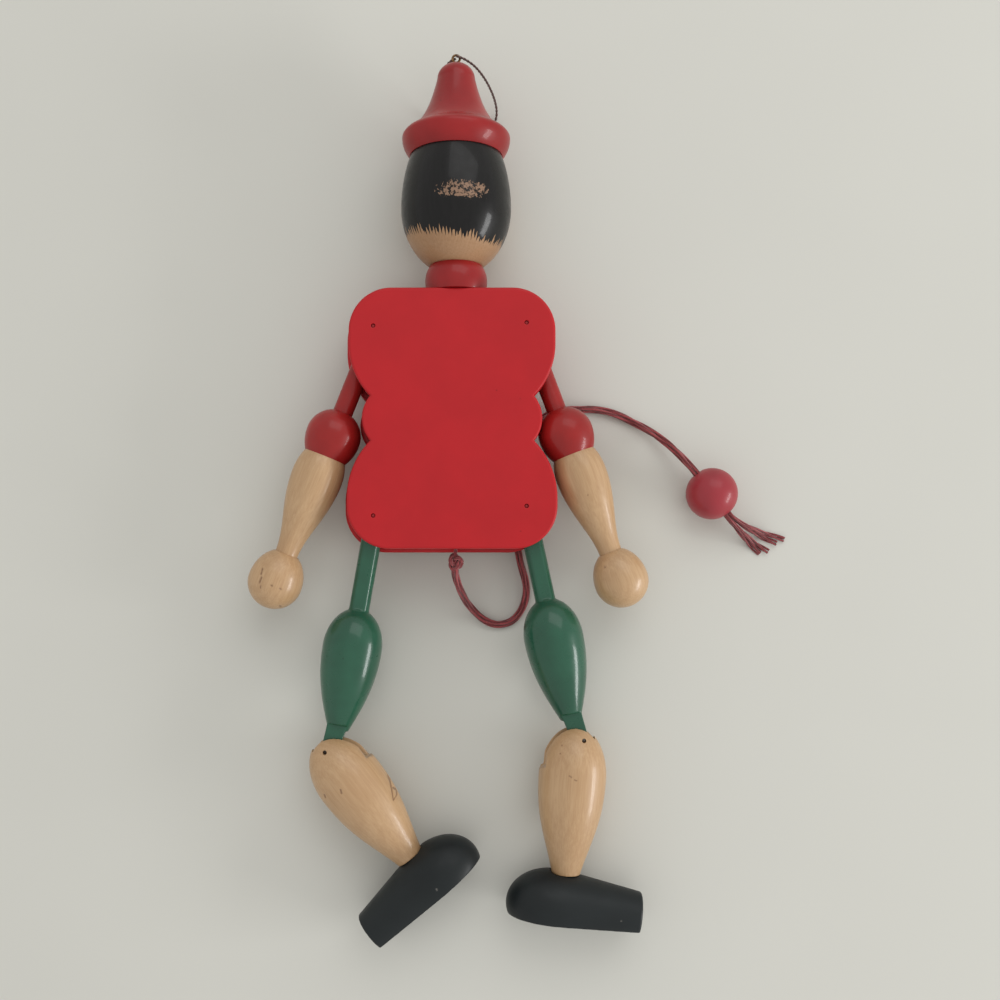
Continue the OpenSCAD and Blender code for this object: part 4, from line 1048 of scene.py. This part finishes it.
def makeShoe(side):
    s, body = shoeSet, side + "_lower_leg"
    line = bulgeIn(s["widest"], s["radius"], s["widest"], 0, 48)
    middle = (s["widest"] + s["taper"]) / 2
    line += bezier((s["widest"], s["radius"]), (middle, s["radius"]), (s["taper"], s["taperRadius"]))
    line += [(s["length"] - s["toeEdge"], s["toe"]), (s["length"], s["toe"] - s["toeEdge"])]
    shoe = turned(side + "Shoe", line)
    shift, low = shinSet["shift"][side], -s["seat"] - s["sole"]
    ankle = Matrix.Translation((-shift, -shinSet["end"], 0)) @ Matrix.Rotation(-math.radians(s["tilt"]), 4, "Z")
    lie = Matrix.Rotation(math.radians(90), 4, "Y")
    shoe.data.transform(ankle @ Matrix.Translation((-s["ankleFromHeel"], -s["seat"], 0)) @ lie)
    sole = box("sole", (-90, low - 40, -40), (90, low, 40))
    sole.data.transform(ankle)
    carved(shoe, sole)
    end = shinSet["end"]
    bores = ((s["ankleRoom"], 0, end), (shinSet["dowel"], s["boreFrom"], end + shinSet["dowelHalf"]))
    for radius, top, foot in bores:
        bore = turned("bore", [(top, radius), (foot, radius)], 48)
        bore.data.transform(Matrix.Translation((-shift, 0, 0)) @ alongLimb)
        carved(shoe, bore)
    softened(shoe, s["voxel"], s["rounds"])
    place = limbPlace(side, "_knee", shinAngle(side))
    completed(shoe, place, slatePaint, body, side + "_shoe", 50, shoeMarks[side])


for side in sides:
    makeThigh(side)
    makeShin(side)
    makeShoe(side)
print("legs turned")

# Pull bead with its bored hole and rounded lips
lip, bore, ball = beadSet["lip"], beadSet["bore"], beadSet["radius"]
edge = math.sqrt(ball ** 2 - (bore + lip) ** 2)
first = math.acos(edge / ball)
turns = [first + (math.pi - 2 * first) * k / 64 for k in range(65)]
arc = [(ball * math.cos(a), ball * math.sin(a)) for a in turns]
beadLine = bezier((edge - lip, bore), (edge + 0.1, bore), arc[0], steps=6) + arc
beadLine += bezier(arc[-1], (-edge - 0.1, bore), (lip - edge, bore), steps=6) + [(0, bore)]
bead = turned("pullBead", beadLine, closed=True)
beadPlace = Matrix.Translation(beadMiddle * mm) @ beadWay.to_track_quat("Z", "Y").to_matrix().to_4x4()
completed(bead, beadPlace, beadPaint, "bead", "pull_bead")
for name in ("neck_block", "waist_blocks", "neck_dowel", "left_arm_dowel", "right_arm_dowel",
             "left_ankle_dowel", "right_ankle_dowel"):
    frame["nodes"][name].data.materials.clear()
    frame["nodes"][name].data.materials.append(bareWood)
print("bead and inner wood done")

# Pale table top under the toy, and soft light with a window low on the right
floorSet = {"half": 2.5, "colour": (0.620, 0.618, 0.570), "mottle": 0.03, "rough": 0.75}
floorMesh = bpy.data.meshes.new("table")
half = floorSet["half"]
square = ((-half, -half), (half, -half), (half, half), (-half, half))
floorMesh.from_pydata([(x, y, restZ(y / mm) * mm) for x, y in square], [], [(0, 1, 2, 3)])
f = Finish("tableTop")
shades = [tuple(c * (1 + way * floorSet["mottle"]) for c in floorSet["colour"]) for way in (-1, 1)]
floorMesh.materials.append(f.finish(f.mix(f.noise(f.local(), 0.01, 2), *shades), floorSet["rough"]))
linked("table", floorMesh)

lightSet = {"world": 0.75, "tint": (1.0, 0.99, 0.97), "aim": (0, -0.05, -0.01)}
lamps = {"ceiling": {"place": (0.30, 0.90, 0.95), "size": (1.2, 0.8), "power": 3.5},
         "window": {"place": (1.5, -0.45, 0.42), "size": (0.9, 0.35), "power": 12.0}}
world = bpy.data.worlds.new("room")
scene.world = world
world.use_nodes = True
back = world.node_tree.nodes["Background"]
back.inputs["Color"].default_value = (*lightSet["tint"], 1)
back.inputs["Strength"].default_value = lightSet["world"]
for name, s in lamps.items():
    data = bpy.data.lights.new(name, "AREA")
    data.shape = "RECTANGLE"
    data.size, data.size_y = s["size"]
    data.energy = s["power"]
    lamp = linked(name, data)
    lamp.location = s["place"]
    lamp.rotation_mode = "QUATERNION"
    lamp.rotation_quaternion = (Vector(lightSet["aim"]) - lamp.location).to_track_quat("-Z", "Y")
print("stage and light set")
